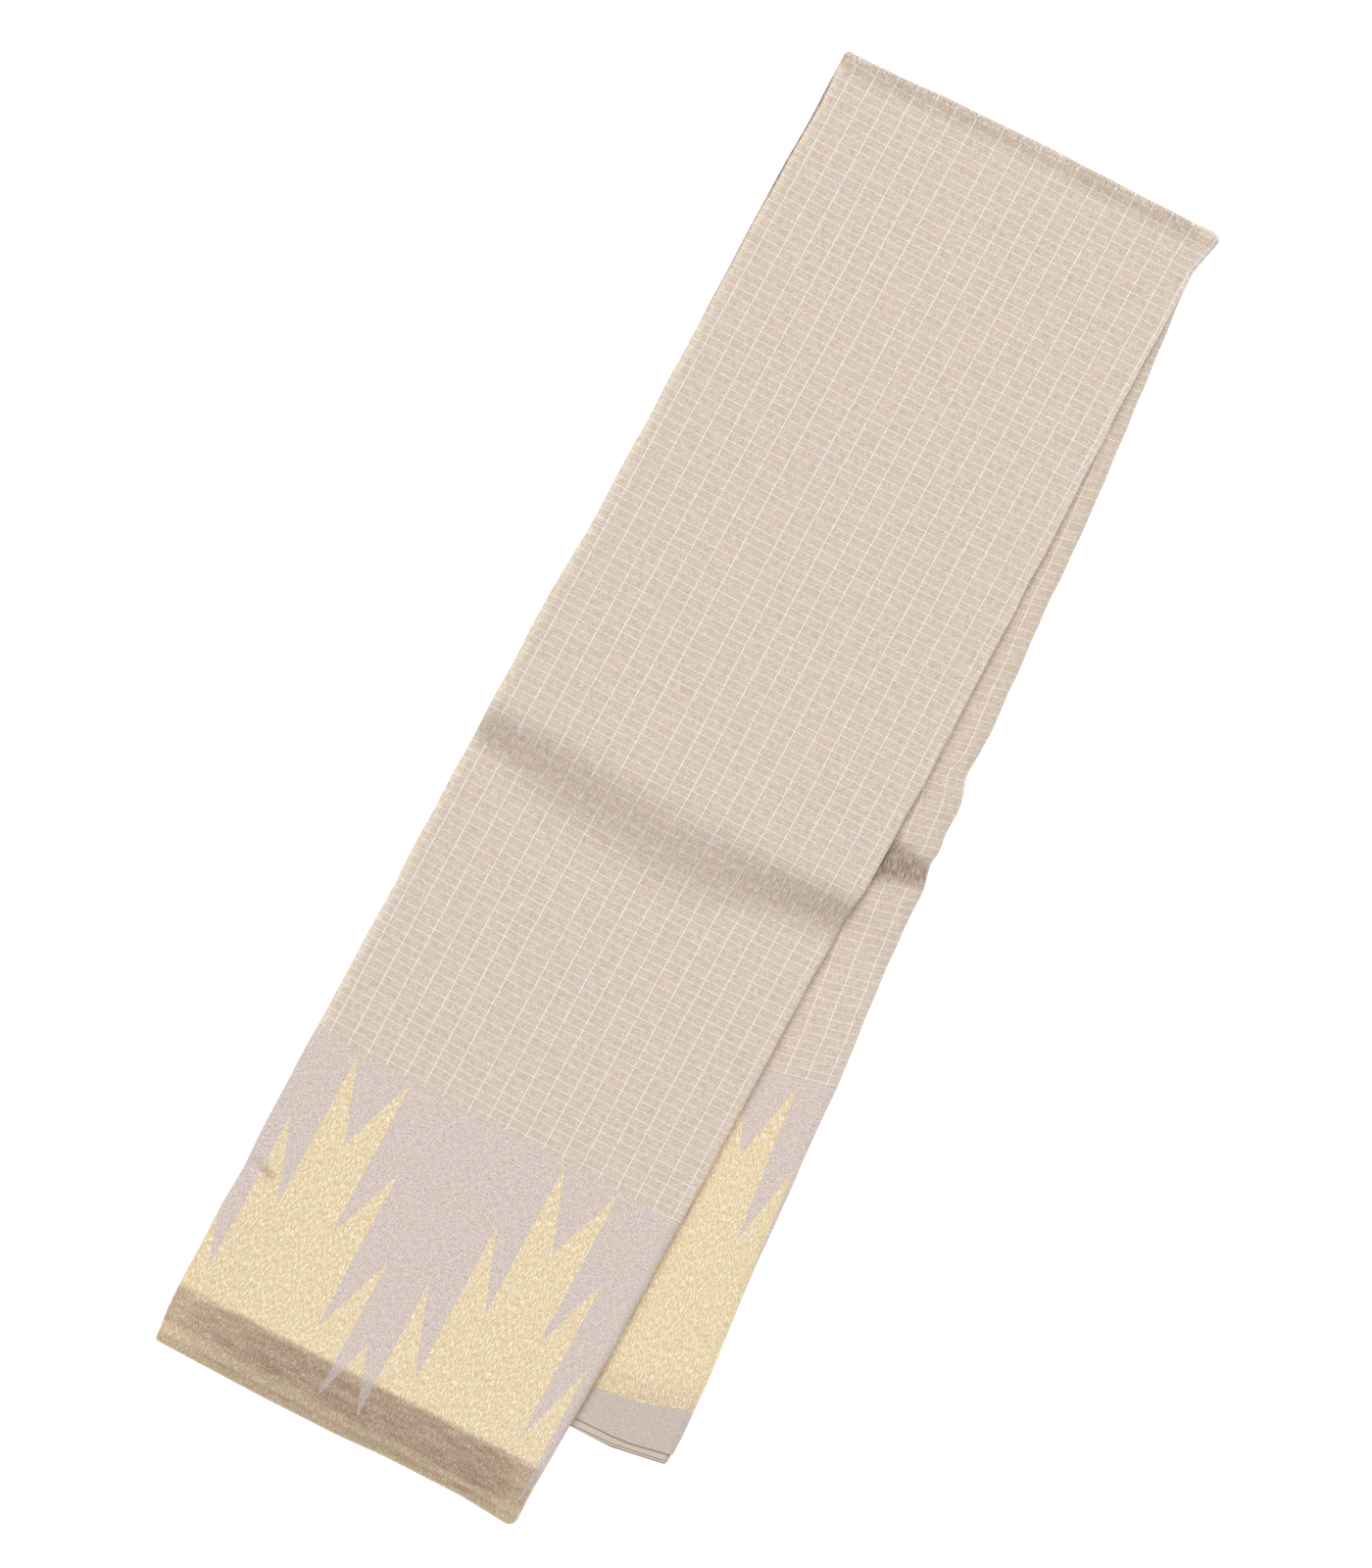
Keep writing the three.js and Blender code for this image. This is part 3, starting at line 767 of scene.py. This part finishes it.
def srgb(red, green, blue):
    """A colour given from 0 to 255, as the shader's linear values."""
    channels = [value / 255 for value in (red, green, blue)]
    return tuple(c / 12.92 if c <= 0.04045 else ((c + 0.055) / 1.055) ** 2.4 for c in channels) + (1.0,)


SILK = srgb(218, 204, 188)
SILK_DARK = srgb(205, 190, 174)
SILK_PINK = srgb(221, 199, 191)
WHITE_THREAD = srgb(246, 240, 230)
CROSS_THREAD = srgb(243, 234, 231)
FLECK_GOLD = srgb(226, 210, 162)
# The darker tone of the painted shade on the check silk; below 0 it gives painted light
PAINTED_SHADE_TONE = srgb(224, 221, 219)
PLAIN = srgb(216, 202, 194)
HEM = srgb(203, 190, 180)
GOLD = srgb(240, 222, 187)
GOLD_DEEP = srgb(230, 199, 153)
GOLD_BRIGHT = srgb(253, 248, 226)
GOLD_GREEN = srgb(226, 216, 168)
GOLD_GAP = srgb(214, 184, 150)
BAND_SHADE_TONE = srgb(236, 232, 235)

# What the weave's tone and the streaks in the band's painted shade are made of, and the weave's usual sum
WEAVE = {"weave down": 0.36, "weave over": 0.34, "weave speck": 0.60}
WEAVE_MIDDLE = 0.65
BAND_SHADE_STREAKS = {"band streaks long": 1.4, "band streaks short": 0.9, "band streaks speck": 1.2}

# The check, in millimetres: (start, spacing) of the lines right and left of the wide column's middle
RIGHT_LINES = (0.8, 8.53)
LEFT_LINES = (-28.1, 8.81)
WIDE_COLUMN = -22.4
CROSS_SPACING = 3.757
CROSS_START = -6.0

# How threads, flecks and edges fade out, in millimetres
UPRIGHT_FADE = (0.35, 0.15)
CROSS_FADE = (0.29, 0.11)
FLECK_FADE = (1.6, 0.2)
SPIKE_FADE = 0.4
SPIKE_SIDE_FADE = 0.15
SOLID_GOLD_FADE = 0.3

# How rough the sheen is, and how deep the threads stand, in metres
SHEEN_ROUGHNESS = 0.4
THREAD_DEPTH = 0.00012
PLAIN_DEPTH = 0.0001
LAYER_DEPTH = 0.0002

# The border's motif, in millimetres, with its spikes as (outer side, tip, rise for each one inwards)
MOTIF_PERIOD = 96.4
MOTIF_MIDDLE = 41.3
SPIKES = ((12.4, 1.2, 2.80), (24.8, 36.2, 2.78), (37.7, 70.0, 2.86))
SMALL_SPIKE = (103.9, 2.7)
SOLID_GOLD_END = 148.2
RIB_SPACING = 0.88


def weave_tone(s, strength=1.0):
    """The cloth's own fine unevenness, about 1."""
    return s.added(1 - WEAVE_MIDDLE * strength, s.noises(WEAVE), strength)


def faded(s, colour, tone, strength):
    """The colour with the tone laid over it, as often as the strength says."""
    channels = s.nodes.new("ShaderNodeSeparateColor")
    s.feed(channels.inputs[0], tone)
    laid = [s.math("POWER", socket, strength) for socket in channels.outputs]
    return s.mix(1.0, colour, s.point(*laid), "MULTIPLY")


def check_material():
    s = Shader("check_silk")
    # The threads fade in the crease's painted shade
    shown = s.ramp(s.mark("pressed"), 0.25, 0.95, 1.0, 0.3)
    ground = s.mix(s.ramp(s.noise("dark patch"), 0.3, 0.8), SILK, SILK_DARK)
    ground = s.mix(s.ramp(s.noise("pink patch"), 0.45, 0.8), ground, SILK_PINK)

    # Upright white threads, counted from both sides of the wide column
    on_left = s.math("LESS_THAN", s.x, WIDE_COLUMN)
    runs = (RIGHT_LINES, LEFT_LINES)
    counts = [s.math("DIVIDE", s.minus(s.x, start), spacing) for start, spacing in runs]
    count = s.added(counts[0], s.minus(counts[1], counts[0]), on_left)
    spacing = RIGHT_LINES[1]
    from_upright = s.product(s.repeat(s.swayed(count, "thread wander", 0.05), 1.0), spacing)
    broken = s.ramp(s.noise("thread breaks"), 0.30, 0.62, 0.35, 0.95)
    upright = s.product(s.ramp(from_upright, *UPRIGHT_FADE), broken, shown)

    # Fainter threads across
    below_start = s.minus(s.y, CROSS_START)
    from_level = s.repeat(s.swayed(below_start, "cross wander", 0.5), CROSS_SPACING)
    dashed = s.ramp(s.noise("cross breaks"), 0.32, 0.60, 0.25, 0.95)
    level = s.product(s.ramp(from_level, *CROSS_FADE), dashed, shown)

    # Gold flecks down the middle of each column
    from_middle = s.product(s.repeat(s.math("ADD", count, 0.5), 1.0), spacing)
    fleck = s.product(s.ramp(from_middle, *FLECK_FADE), s.ramp(s.noise("flecks"), 0.45, 0.68), 0.75)

    colour = s.times(s.mix(fleck, ground, FLECK_GOLD), weave_tone(s))
    colour = s.mix(s.product(level, 0.92), colour, CROSS_THREAD)
    colour = s.mix(upright, colour, WHITE_THREAD)
    streak = s.ramp(s.noise("streaks"), 0.3, 0.7, 1.65, 0.4)
    # Painted shade of the crease, beside the fold and on the back half's field, and painted light at the
    # front half's edges
    colour = faded(s, colour, PAINTED_SHADE_TONE, s.product(s.mark("shade"), streak))
    s.bump(s.added(s.crossed("check"), s.math("MAXIMUM", upright, level), 0.6), THREAD_DEPTH, 0.6)
    return s.finish(colour, roughness=0.6, specular=0.35, sheen=0.15)


def spike_mask(s):
    """1 in the gold of the stepped spikes and below them, 0 on the plain ground."""
    edge_y = s.swayed(s.y, "edge along", 1.8)
    out = s.repeat(s.minus(s.swayed(s.x, "edge across", 0.4), MOTIF_MIDDLE), MOTIF_PERIOD)
    tip, rise = SMALL_SPIKE
    slant = s.added(tip, s.minus(MOTIF_PERIOD / 2, out), rise)
    inside = s.ramp(s.minus(edge_y, slant), -SPIKE_FADE, SPIKE_FADE)
    for side, tip, rise in SPIKES:
        slant = s.added(tip, s.minus(side, out), rise)
        below = s.ramp(s.minus(edge_y, slant), -SPIKE_FADE, SPIKE_FADE)
        within = s.ramp(out, side + SPIKE_SIDE_FADE, side - SPIKE_SIDE_FADE)
        inside = s.math("MAXIMUM", inside, s.product(below, within))
    return inside


def gold_border_material():
    s = Shader("gold_border")
    above_hem = s.ramp(s.y, SOLID_GOLD_END + SOLID_GOLD_FADE, SOLID_GOLD_END - SOLID_GOLD_FADE)
    gold = s.product(spike_mask(s), above_hem)

    # Gold threads over fine ribs, broken into short uneven strokes
    bend = s.product(s.noise("rib bend"), 1.1)
    from_rib = s.math("DIVIDE", s.repeat(s.math("ADD", s.y, bend), RIB_SPACING), RIB_SPACING / 2)
    cells = s.noise("gold cells")
    gap = s.product(s.ramp(from_rib, 0.2, 1.0, 0.5, 1.0), s.ramp(cells, 0.42, 0.62, 0.0, 0.45))
    thread = s.mix(s.ramp(s.noise("gold bright"), 0.41, 0.59), GOLD, GOLD_BRIGHT)
    thread = s.mix(s.ramp(s.noise("gold deep"), 0.46, 0.60, 0.0, 0.9), thread, GOLD_DEEP)
    thread = s.mix(s.ramp(s.noise("gold green"), 0.46, 0.64, 0.0, 0.6), thread, GOLD_GREEN)
    thread = s.mix(gap, thread, GOLD_GAP)
    colour = s.mix(gold, s.times(PLAIN, weave_tone(s, 1.4)), thread)

    # Painted shade on the band at the front half's end, streaked across
    band = s.product(s.mark("shade"), s.ramp(gold, 0.0, 1.0, 0.18, 1.0))
    colour = faded(s, colour, BAND_SHADE_TONE, s.product(band, s.added(-2.9, s.noises(BAND_SHADE_STREAKS), 3.0)))

    s.feed(s.surface.inputs["Metallic"], s.product(gold, 0.1))
    ribs = s.product(s.added(s.product(cells, 0.9), from_rib, -0.3), gold)
    s.bump(s.added(ribs, s.crossed("gold"), 0.7), THREAD_DEPTH, 0.6)
    return s.finish(colour, roughness=0.62, specular=0.25, sheen=0.1)


def plain_material():
    s = Shader("plain_silk")
    s.bump(s.crossed("plain"), PLAIN_DEPTH, 0.5)
    return s.finish(s.times(HEM, weave_tone(s)), roughness=0.55, specular=0.4, sheen=0.1)


def layers_material():
    """Folded layers seen edge on, with fine threads along them."""
    s = Shader("inner_silk")
    s.bump(s.noise("layer threads"), LAYER_DEPTH, 0.7)
    colour = s.mix(s.noise("layer colour"), SILK, SILK_DARK)
    return s.finish(colour, roughness=0.65, specular=0.35, sheen=0.15)


MATERIALS = {
    "check_silk": check_material(),
    "gold_border": gold_border_material(),
    "plain_silk": plain_material(),
    "inner_silk": layers_material(),
}

# The marks fade out down the cloth's edges
FRONT_MARKED = (2.0, 3.0)
BACK_MARKED = (-4.0, 3.0)

# Rows and columns of the cloth
ROW_STEP = 2.0
CLOSE_STEP = 1.0
TURN_ROWS = 41
NOSE_ROWS = 17
FRONT_COLUMNS = 84
HIDDEN_COLUMNS = 14
FRONT_INNER = np.linspace(8, 150, 8)
BACK_INNER = np.append(np.arange(1.5, 52, 1.5), np.linspace(60, 150, 5))
back_middles = [float(line(0.0)) for line in BACK_LINES]

# Each half's lines, place, columns, inner columns, and its hidden first row's angle round the fold
FRONT_HALF = (FRONT_LINES, on_front, FRONT_COLUMNS, FRONT_INNER, 0.08)
BACK_HALF = (BACK_LINES, on_back, HIDDEN_COLUMNS, BACK_INNER, math.pi - 0.08)

# Where rows lie closer together: (from along, to along, step)
FIELD_CLOSE = ((0, 16, CLOSE_STEP), (302, 342, CLOSE_STEP))
BORDER_CLOSE = ((560, 580, CLOSE_STEP),)
BACK_CLOSE = ((268, 304, CLOSE_STEP),)
LEAF_CLOSE = ((556, 600, ROW_STEP),)


def places(start, stop, step, close=()):
    """Places from start to stop, closer together in the close runs, and one beyond each end."""
    found = [start]
    while found[-1] < stop:
        here = found[-1]
        found.append(here + next((run[2] for run in close if run[0] <= here < run[1]), step))
    if stop - found[-2] < step / 3:
        del found[-2]
    return np.array([start - CLOSE_STEP, *found[:-1], stop, stop + CLOSE_STEP])


def stretch(middle, sides, half, look):
    """The outer cloth of a half, in rows at these places."""
    lines, on_half, columns, inner, hidden_angle = half
    surfaces = []
    for inset in (0.0, CLOTH):
        runs = [whole_run(left, right, inset, columns, inner) for left, right in zip(*sides)]
        across, lift = np.moveaxis(np.stack(runs), -1, 0)
        along = cross_line(lines, middle[:, None], across)
        surface = on_half(across, along, lift)
        if middle[1] < FOLD_REACH:
            surface[0] = on_fold(across[1], hidden_angle, lift[1])
        surfaces.append(surface)
        if not inset:
            lengths = np.stack([run_lengths(run) for run in runs])
            uv, pressed, shade, shown = look(lengths, across, along, lift)
            marks = np.stack([pressed, shade], -1) * shown[..., None]
    return closed_sheet(*surfaces, uv, marks)


def front_stretch(start, stop, close):
    middle = places(start, stop, ROW_STEP, close)

    def look(lengths, across, along, lift):
        shown = ease(lift, *FRONT_MARKED)
        pressed = crease_painted_shade(across, along)
        if start == FRONT_BORDER_ALONG:
            # Painted shade of the end band and of the border's wrinkle
            shade = band_painted_shade(across, along) + BORDER_WRINKLE["shade"] * border_wrinkle(across, along)
            return border_place(lengths, along), pressed, shade, shown
        # Painted shade of the crease and beside the fold, with painted light and shade at the edges
        shade = pressed + fold_painted_shade(across, along) + edge_painted_light_and_shade(across, along)
        return check_place(lengths, across, along), pressed, shade, shown

    return stretch(middle, (front_left(middle), front_right(middle)), FRONT_HALF, look)


def back_stretch(number, close=()):
    middle = places(*back_middles[number:number + 2], ROW_STEP, close)
    rights = back_right(middle - BACK_LEAN * back_right(middle))

    def look(lengths, across, along, lift):
        turn = lengths[:, LIP_POINTS + HIDDEN_COLUMNS + TURN_POINTS // 2][:, None]
        uv = back_place(lengths - turn, middle, across, along)
        # Painted shade of the back half's crease, which also fades its threads
        pressed = BACK_CREASE["shade"] * back_crease(across, along)
        shade = pressed + back_shade(number, along, uv[..., 1] / MM)
        return uv, pressed, shade, ease(-lift, *BACK_MARKED)

    return stretch(middle, (back_left(middle), rights), BACK_HALF, look)


def top_fold():
    angle = np.linspace(0, math.pi, TURN_ROWS)[:, None]
    sides = front_sides(fold_line(0))
    runs = [whole_run(*sides, inset, FRONT_COLUMNS, FRONT_INNER)[None] for inset in (0.0, CLOTH)]
    surfaces = []
    for run in runs:
        across, lift = run[..., 0], run[..., 1]
        beyond = fold_line(across) + CLOSE_STEP
        surfaces.append(np.concatenate([
            on_front(across, beyond, lift), on_fold(across + 0 * angle, angle, lift + 0 * angle),
            on_back(across, beyond, lift),
        ]))
    across, lift = runs[0][..., 0], runs[0][..., 1]
    uv = check_place(run_lengths(runs[0][0]) + 0 * angle, across, fold_line(across) + 0 * angle)
    uv[..., 1] -= angle * (FOLD_REACH + OUTER_LIFT) / 2 * MM
    # Painted shade beside the fold, more round the turn
    turned = 1 + ease(angle, *TURN_SHADE)
    shade = fold_painted_shade(across, fold_line(across)) * turned * ease(lift, *FRONT_MARKED)
    marks = np.stack([0 * shade, shade], -1)
    uv, marks = (np.concatenate([values[:1], values, values[-1:]]) for values in (uv, marks))
    return closed_sheet(*surfaces, uv, marks)


def turned_end():
    stop = float(nose_line(0.0))
    leg = places(TURNED_UNDER_ALONG, stop, CLOSE_STEP)[:-1]
    last = len(leg) - 1
    nose = np.linspace(0, math.pi, NOSE_ROWS)[1:]
    surfaces = []
    for inset in (0.0, CLOTH):
        rows, lengths, marks = [], [], []
        runs = {middle: upper_run(*front_sides(middle), inset, FRONT_COLUMNS, LIP_END) for middle in leg}
        for middle in leg:
            across, lift = runs[middle].T
            along = cross_line(FRONT_LINES, middle, across)
            rows.append(on_front(across, along, lift))
            lengths.append(border_place(run_lengths(runs[middle]), along))
            shade = band_painted_shade(across, along)
            marks.append(np.stack([0 * shade, shade], -1))
        for angle in nose:
            rows.append(on_nose(across, angle, lift))
            lengths.append(lengths[last] + np.array([0, angle * NOSE_REACH * MM]))
            # Painted light round the nose: less of the band's painted shade there
            marks.append(marks[last] - np.array([0, NOSE_PAINTED_LIGHT * math.sin(angle)]))
        for middle in leg[::-1][1:]:
            across, lift = runs[middle].T
            under = on_nose(across, math.pi, lift)
            under[:, 1] = STRIP_Y - cross_line(FRONT_LINES, middle, across) * MM
            rows.append(under)
            lengths.append(lengths[last] + np.array([0, math.pi * NOSE_REACH + stop - middle]) * MM)
            marks.append(marks[last])
        surfaces.append(np.stack(rows))
        if not inset:
            uv, mark = np.stack(lengths), np.stack(marks)
    return closed_sheet(*surfaces, uv, mark)


# The hidden layers: (lift, thickness, standing out at the left, standing out at the back half's end)
LEAVES = (
    (0.98, 0.36, 0.9, 3.0), (1.50, 0.48, 1.9, 4.0), (2.10, 0.52, 1.0, 2.4), (2.66, 0.42, 2.1, 4.3),
    (3.18, 0.46, 1.2, 3.0), (3.74, 0.50, 1.8, 3.7), (4.30, 0.46, 0.7, 1.6), (4.90, 0.56, 0.3, 2.4),
    (5.55, 0.54, 0.0, 2.0), (6.16, 0.50, 0.0, 1.2), (6.76, 0.54, 0.0, 0.9), (7.38, 0.50, 0.0, 0.6),
)
LEAF_STEP = 5.0
LEAF_COLUMNS = 14
LEAF_TURN_ROWS = 25
LEAF_INSET = 1.5
LEAF_INSET_LENGTH = 8
LEAF_LIP = np.radians((176, 150, 120, 90))


def leaf_section(left, right, number, path):
    """One layer in a cut across the strip, as across and (upper lift, lower lift)."""
    lift, thickness, stands_out, _ = LEAVES[number]
    half = thickness / 2
    stands_out += float(uneven("leaf side", path, number=number)) * min(1, stands_out * 2)
    start = left + LIP_RADIUS + SEAM - min(stands_out, LIP_RADIUS)
    lift = lift + float(uneven("leaf lift", path, number=number))
    level = (lift - MIDDLE_LIFT) / (OUTER_LIFT - CLOTH - MIDDLE_LIFT)
    end = right - RIGHT_REACH + (RIGHT_REACH - CLOTH - SEAM) * math.sqrt(1 - min(1, level * level))
    rounded = start + half + half * np.cos(LEAF_LIP)
    inner = start + half + (end - start - half) * np.linspace(0, 1, LEAF_COLUMNS + 1)[1:] ** 2
    rise = np.append(half * np.sin(LEAF_LIP), np.full(LEAF_COLUMNS, half))
    return np.append(rounded, inner), (lift + rise, lift - rise)


def leaf(rows):
    """A closed layer from rows of (points above, points below) and the path."""
    above, below = (np.stack(points) for points in zip(*(points for points, _ in rows)))
    path = np.array([path for _, path in rows])
    width = np.cumsum(np.linalg.norm(np.gradient(above, axis=1), axis=-1), axis=1)
    uv = np.stack([width, path[:, None] * MM + 0 * width], -1)
    return closed_sheet(above, below, uv, 0 * uv)


def front_leaf(number):
    lift = LEAVES[number][0]
    level = (lift - MIDDLE_LIFT) / (OUTER_LIFT - MIDDLE_LIFT)
    stop = float(nose_line(0)) - LEAF_INSET + (NOSE_REACH - CLOTH - SEAM) * math.sqrt(1 - level * level)
    start = float(fold_line(0))
    rows = []
    for angle in np.linspace(math.pi, 0, LEAF_TURN_ROWS):
        path = start * math.cos(angle)
        left, right = front_sides(start)
        across, lifts = leaf_section(left, right - LEAF_INSET, number, path)
        rows.append(([on_fold(across, angle, lift) for lift in lifts], path))
    for middle in places(start, stop, LEAF_STEP, LEAF_CLOSE)[2:]:
        left, right = front_sides(middle)
        left += ease(middle, TURNED_UNDER_ALONG, LEAF_INSET_LENGTH, LEAF_INSET)
        across, lifts = leaf_section(left, right, number, middle)
        along = cross_line(FRONT_LINES, min(middle, stop), across)
        rows.append(([on_front(across, along, lift) for lift in lifts], middle))
    return leaf([rows[0], *rows])


def back_leaf(number):
    stop = float(BACK_LINES[-1](0.0))
    start = float(fold_line(0))
    rows = []
    for middle in places(start, stop, LEAF_STEP)[1:-1]:
        right = float(back_right(middle - BACK_LEAN * back_right(middle)))
        across, lifts = leaf_section(float(back_left(middle)), right, number, -middle)
        along = cross_line(BACK_LINES, middle, across)
        rows.append(([on_back(across, along, lift) for lift in lifts], -middle))
    shift = LEAVES[number][3] + uneven("leaf end", across, number=number)
    for share in (0.5, 1.0):
        rows.append(([on_back(across, along + shift * share, lift) for lift in lifts], -middle - share))
    return leaf([rows[0], *rows, rows[-1]])


leaf_numbers = range(len(LEAVES))

# Each piece's material, shells, flat size in metres, what it rests on, and its flat area where it isn't
# a rectangle
pieces = {
    "front_field": (
        "check_silk", [front_stretch(float(fold_line(0)), FRONT_BORDER_ALONG, FIELD_CLOSE)],
        (0.345, 0.449), ["front_layers"],
    ),
    "front_border": (
        "gold_border", [front_stretch(FRONT_BORDER_ALONG, TURNED_UNDER_ALONG, BORDER_CLOSE)],
        (0.345, 0.120), ["front_layers"],
    ),
    "front_turned_end": ("gold_border", [turned_end()], (0.18, 0.048), ["front_layers"]),
    "top_fold": ("check_silk", [top_fold()], (0.345, 0.022), ["front_layers", "back_layers"], 0.0043),
    "back_field": ("check_silk", [back_stretch(0, BACK_CLOSE)], (0.35, 0.384), ["back_layers"]),
    "back_border": ("gold_border", [back_stretch(1)], (0.355, 0.142), ["back_layers"]),
    "back_selvedge": ("plain_silk", [back_stretch(2)], (0.36, 0.015), ["back_layers"]),
    "front_layers": ("inner_silk", list(map(front_leaf, leaf_numbers)), (1.17, 1.04), ["back_layers"]),
    "back_layers": ("inner_silk", list(map(back_leaf, leaf_numbers)), (1.17, 0.93), ["back_field"]),
}
for node, details in pieces.items():
    add_piece(node, *details)

# The camera looks straight down, turned so that the strip leans as in the photo
PHOTO_SIZE = (1400, 1600)
PHOTO_STRIP_START = (1051.8, 148.5)
PHOTO_SCALE = 0.3991 * MM
STRIP_LEAN = math.radians(28.2)
CAMERA_HEIGHT = 8.0
SENSOR_WIDTH = 36
SEEN_HEIGHT = 2 * AXIS_HEIGHT * MM
FLOOR_SIZE = 12.0
FLOOR_GAP = 0.0005


def place_camera():
    right = Vector((math.cos(STRIP_LEAN), math.sin(STRIP_LEAN), 0))
    up = Vector((-math.sin(STRIP_LEAN), math.cos(STRIP_LEAN), 0))
    offset = [PHOTO_SIZE[n] / 2 - PHOTO_STRIP_START[n] for n in (0, 1)]
    target = Vector((STRIP_X, STRIP_Y, 0)) + (right * offset[0] - up * offset[1]) * PHOTO_SCALE
    data = bpy.data.cameras.new("camera")
    data.sensor_fit = "AUTO"
    data.sensor_width = SENSOR_WIDTH
    data.lens = data.sensor_width * (CAMERA_HEIGHT - SEEN_HEIGHT) / (PHOTO_SIZE[1] * PHOTO_SCALE)
    camera = add_object("camera", data)
    axes = Matrix((right, up, Vector((0, 0, 1)))).transposed()
    camera.matrix_world = Matrix.Translation(target + Vector((0, 0, CAMERA_HEIGHT))) @ axes.to_4x4()
    bpy.context.scene.camera = camera
    return target


def add_light(name, target, way, size, power):
    """A light at the end of the way from the target, facing back along it."""
    data = bpy.data.lights.new(name, "AREA")
    data.shape = "RECTANGLE"
    data.size, data.size_y = size
    data.energy = power
    light = add_object(name, data)
    light.location = target + Vector(way)
    light.rotation_mode = "QUATERNION"
    light.rotation_quaternion = Vector(way).to_track_quat("Z", "Y")
    light.visible_camera = False


def add_floor():
    half = FLOOR_SIZE / 2
    mesh = bpy.data.meshes.new("floor")
    corners = [(-half, -half, 0), (half, -half, 0), (half, half, 0), (-half, half, 0)]
    mesh.from_pydata(corners, [], [(0, 1, 2, 3)])
    material = bpy.data.materials.new("floor")
    material.use_nodes = True
    settle(material.node_tree.nodes["Principled BSDF"], {
        "Base Color": (0.8, 0.8, 0.8, 1), "Emission Color": (1, 1, 1, 1), "Emission Strength": 0.7,
        "Specular IOR Level": 0.0,
    })
    mesh.materials.append(material)
    floor = add_object("floor", mesh)
    floor.location.z = -FLOOR_GAP


DARK_SIDE = (0.16, 0.13, 0.127, 1)
BRIGHT_SIDE = (0.48, 0.48, 0.48, 1)
ROOM_CHANGE = (-0.9, 0.6)
PIXEL_WIDTH = 1.0


def add_studio():
    """The room's light: brighter from the strip's top, darker and warmer from its end."""
    world = bpy.data.worlds.new("studio")
    graph = Graph(world)
    way = graph.nodes.new("ShaderNodeTexCoord").outputs["Generated"]
    share = graph.ramp(graph.split(way)[1], *ROOM_CHANGE)
    background = graph.nodes["Background"]
    graph.feed(background.inputs["Color"], graph.mix(share, DARK_SIDE, BRIGHT_SIDE))
    background.inputs["Strength"].default_value = 1.0
    bpy.context.scene.world = world
    bpy.context.scene.view_settings.view_transform = "Standard"
    bpy.context.scene.cycles.filter_width = PIXEL_WIDTH


target = place_camera()
add_floor()
add_studio()
add_light("key", target, way=(-1.0, 7.3, 6.6), size=(4.0, 4.0), power=648)
add_light("overhead", target, way=(0, -2.0, 5.3), size=(8.0, 3.4), power=106)
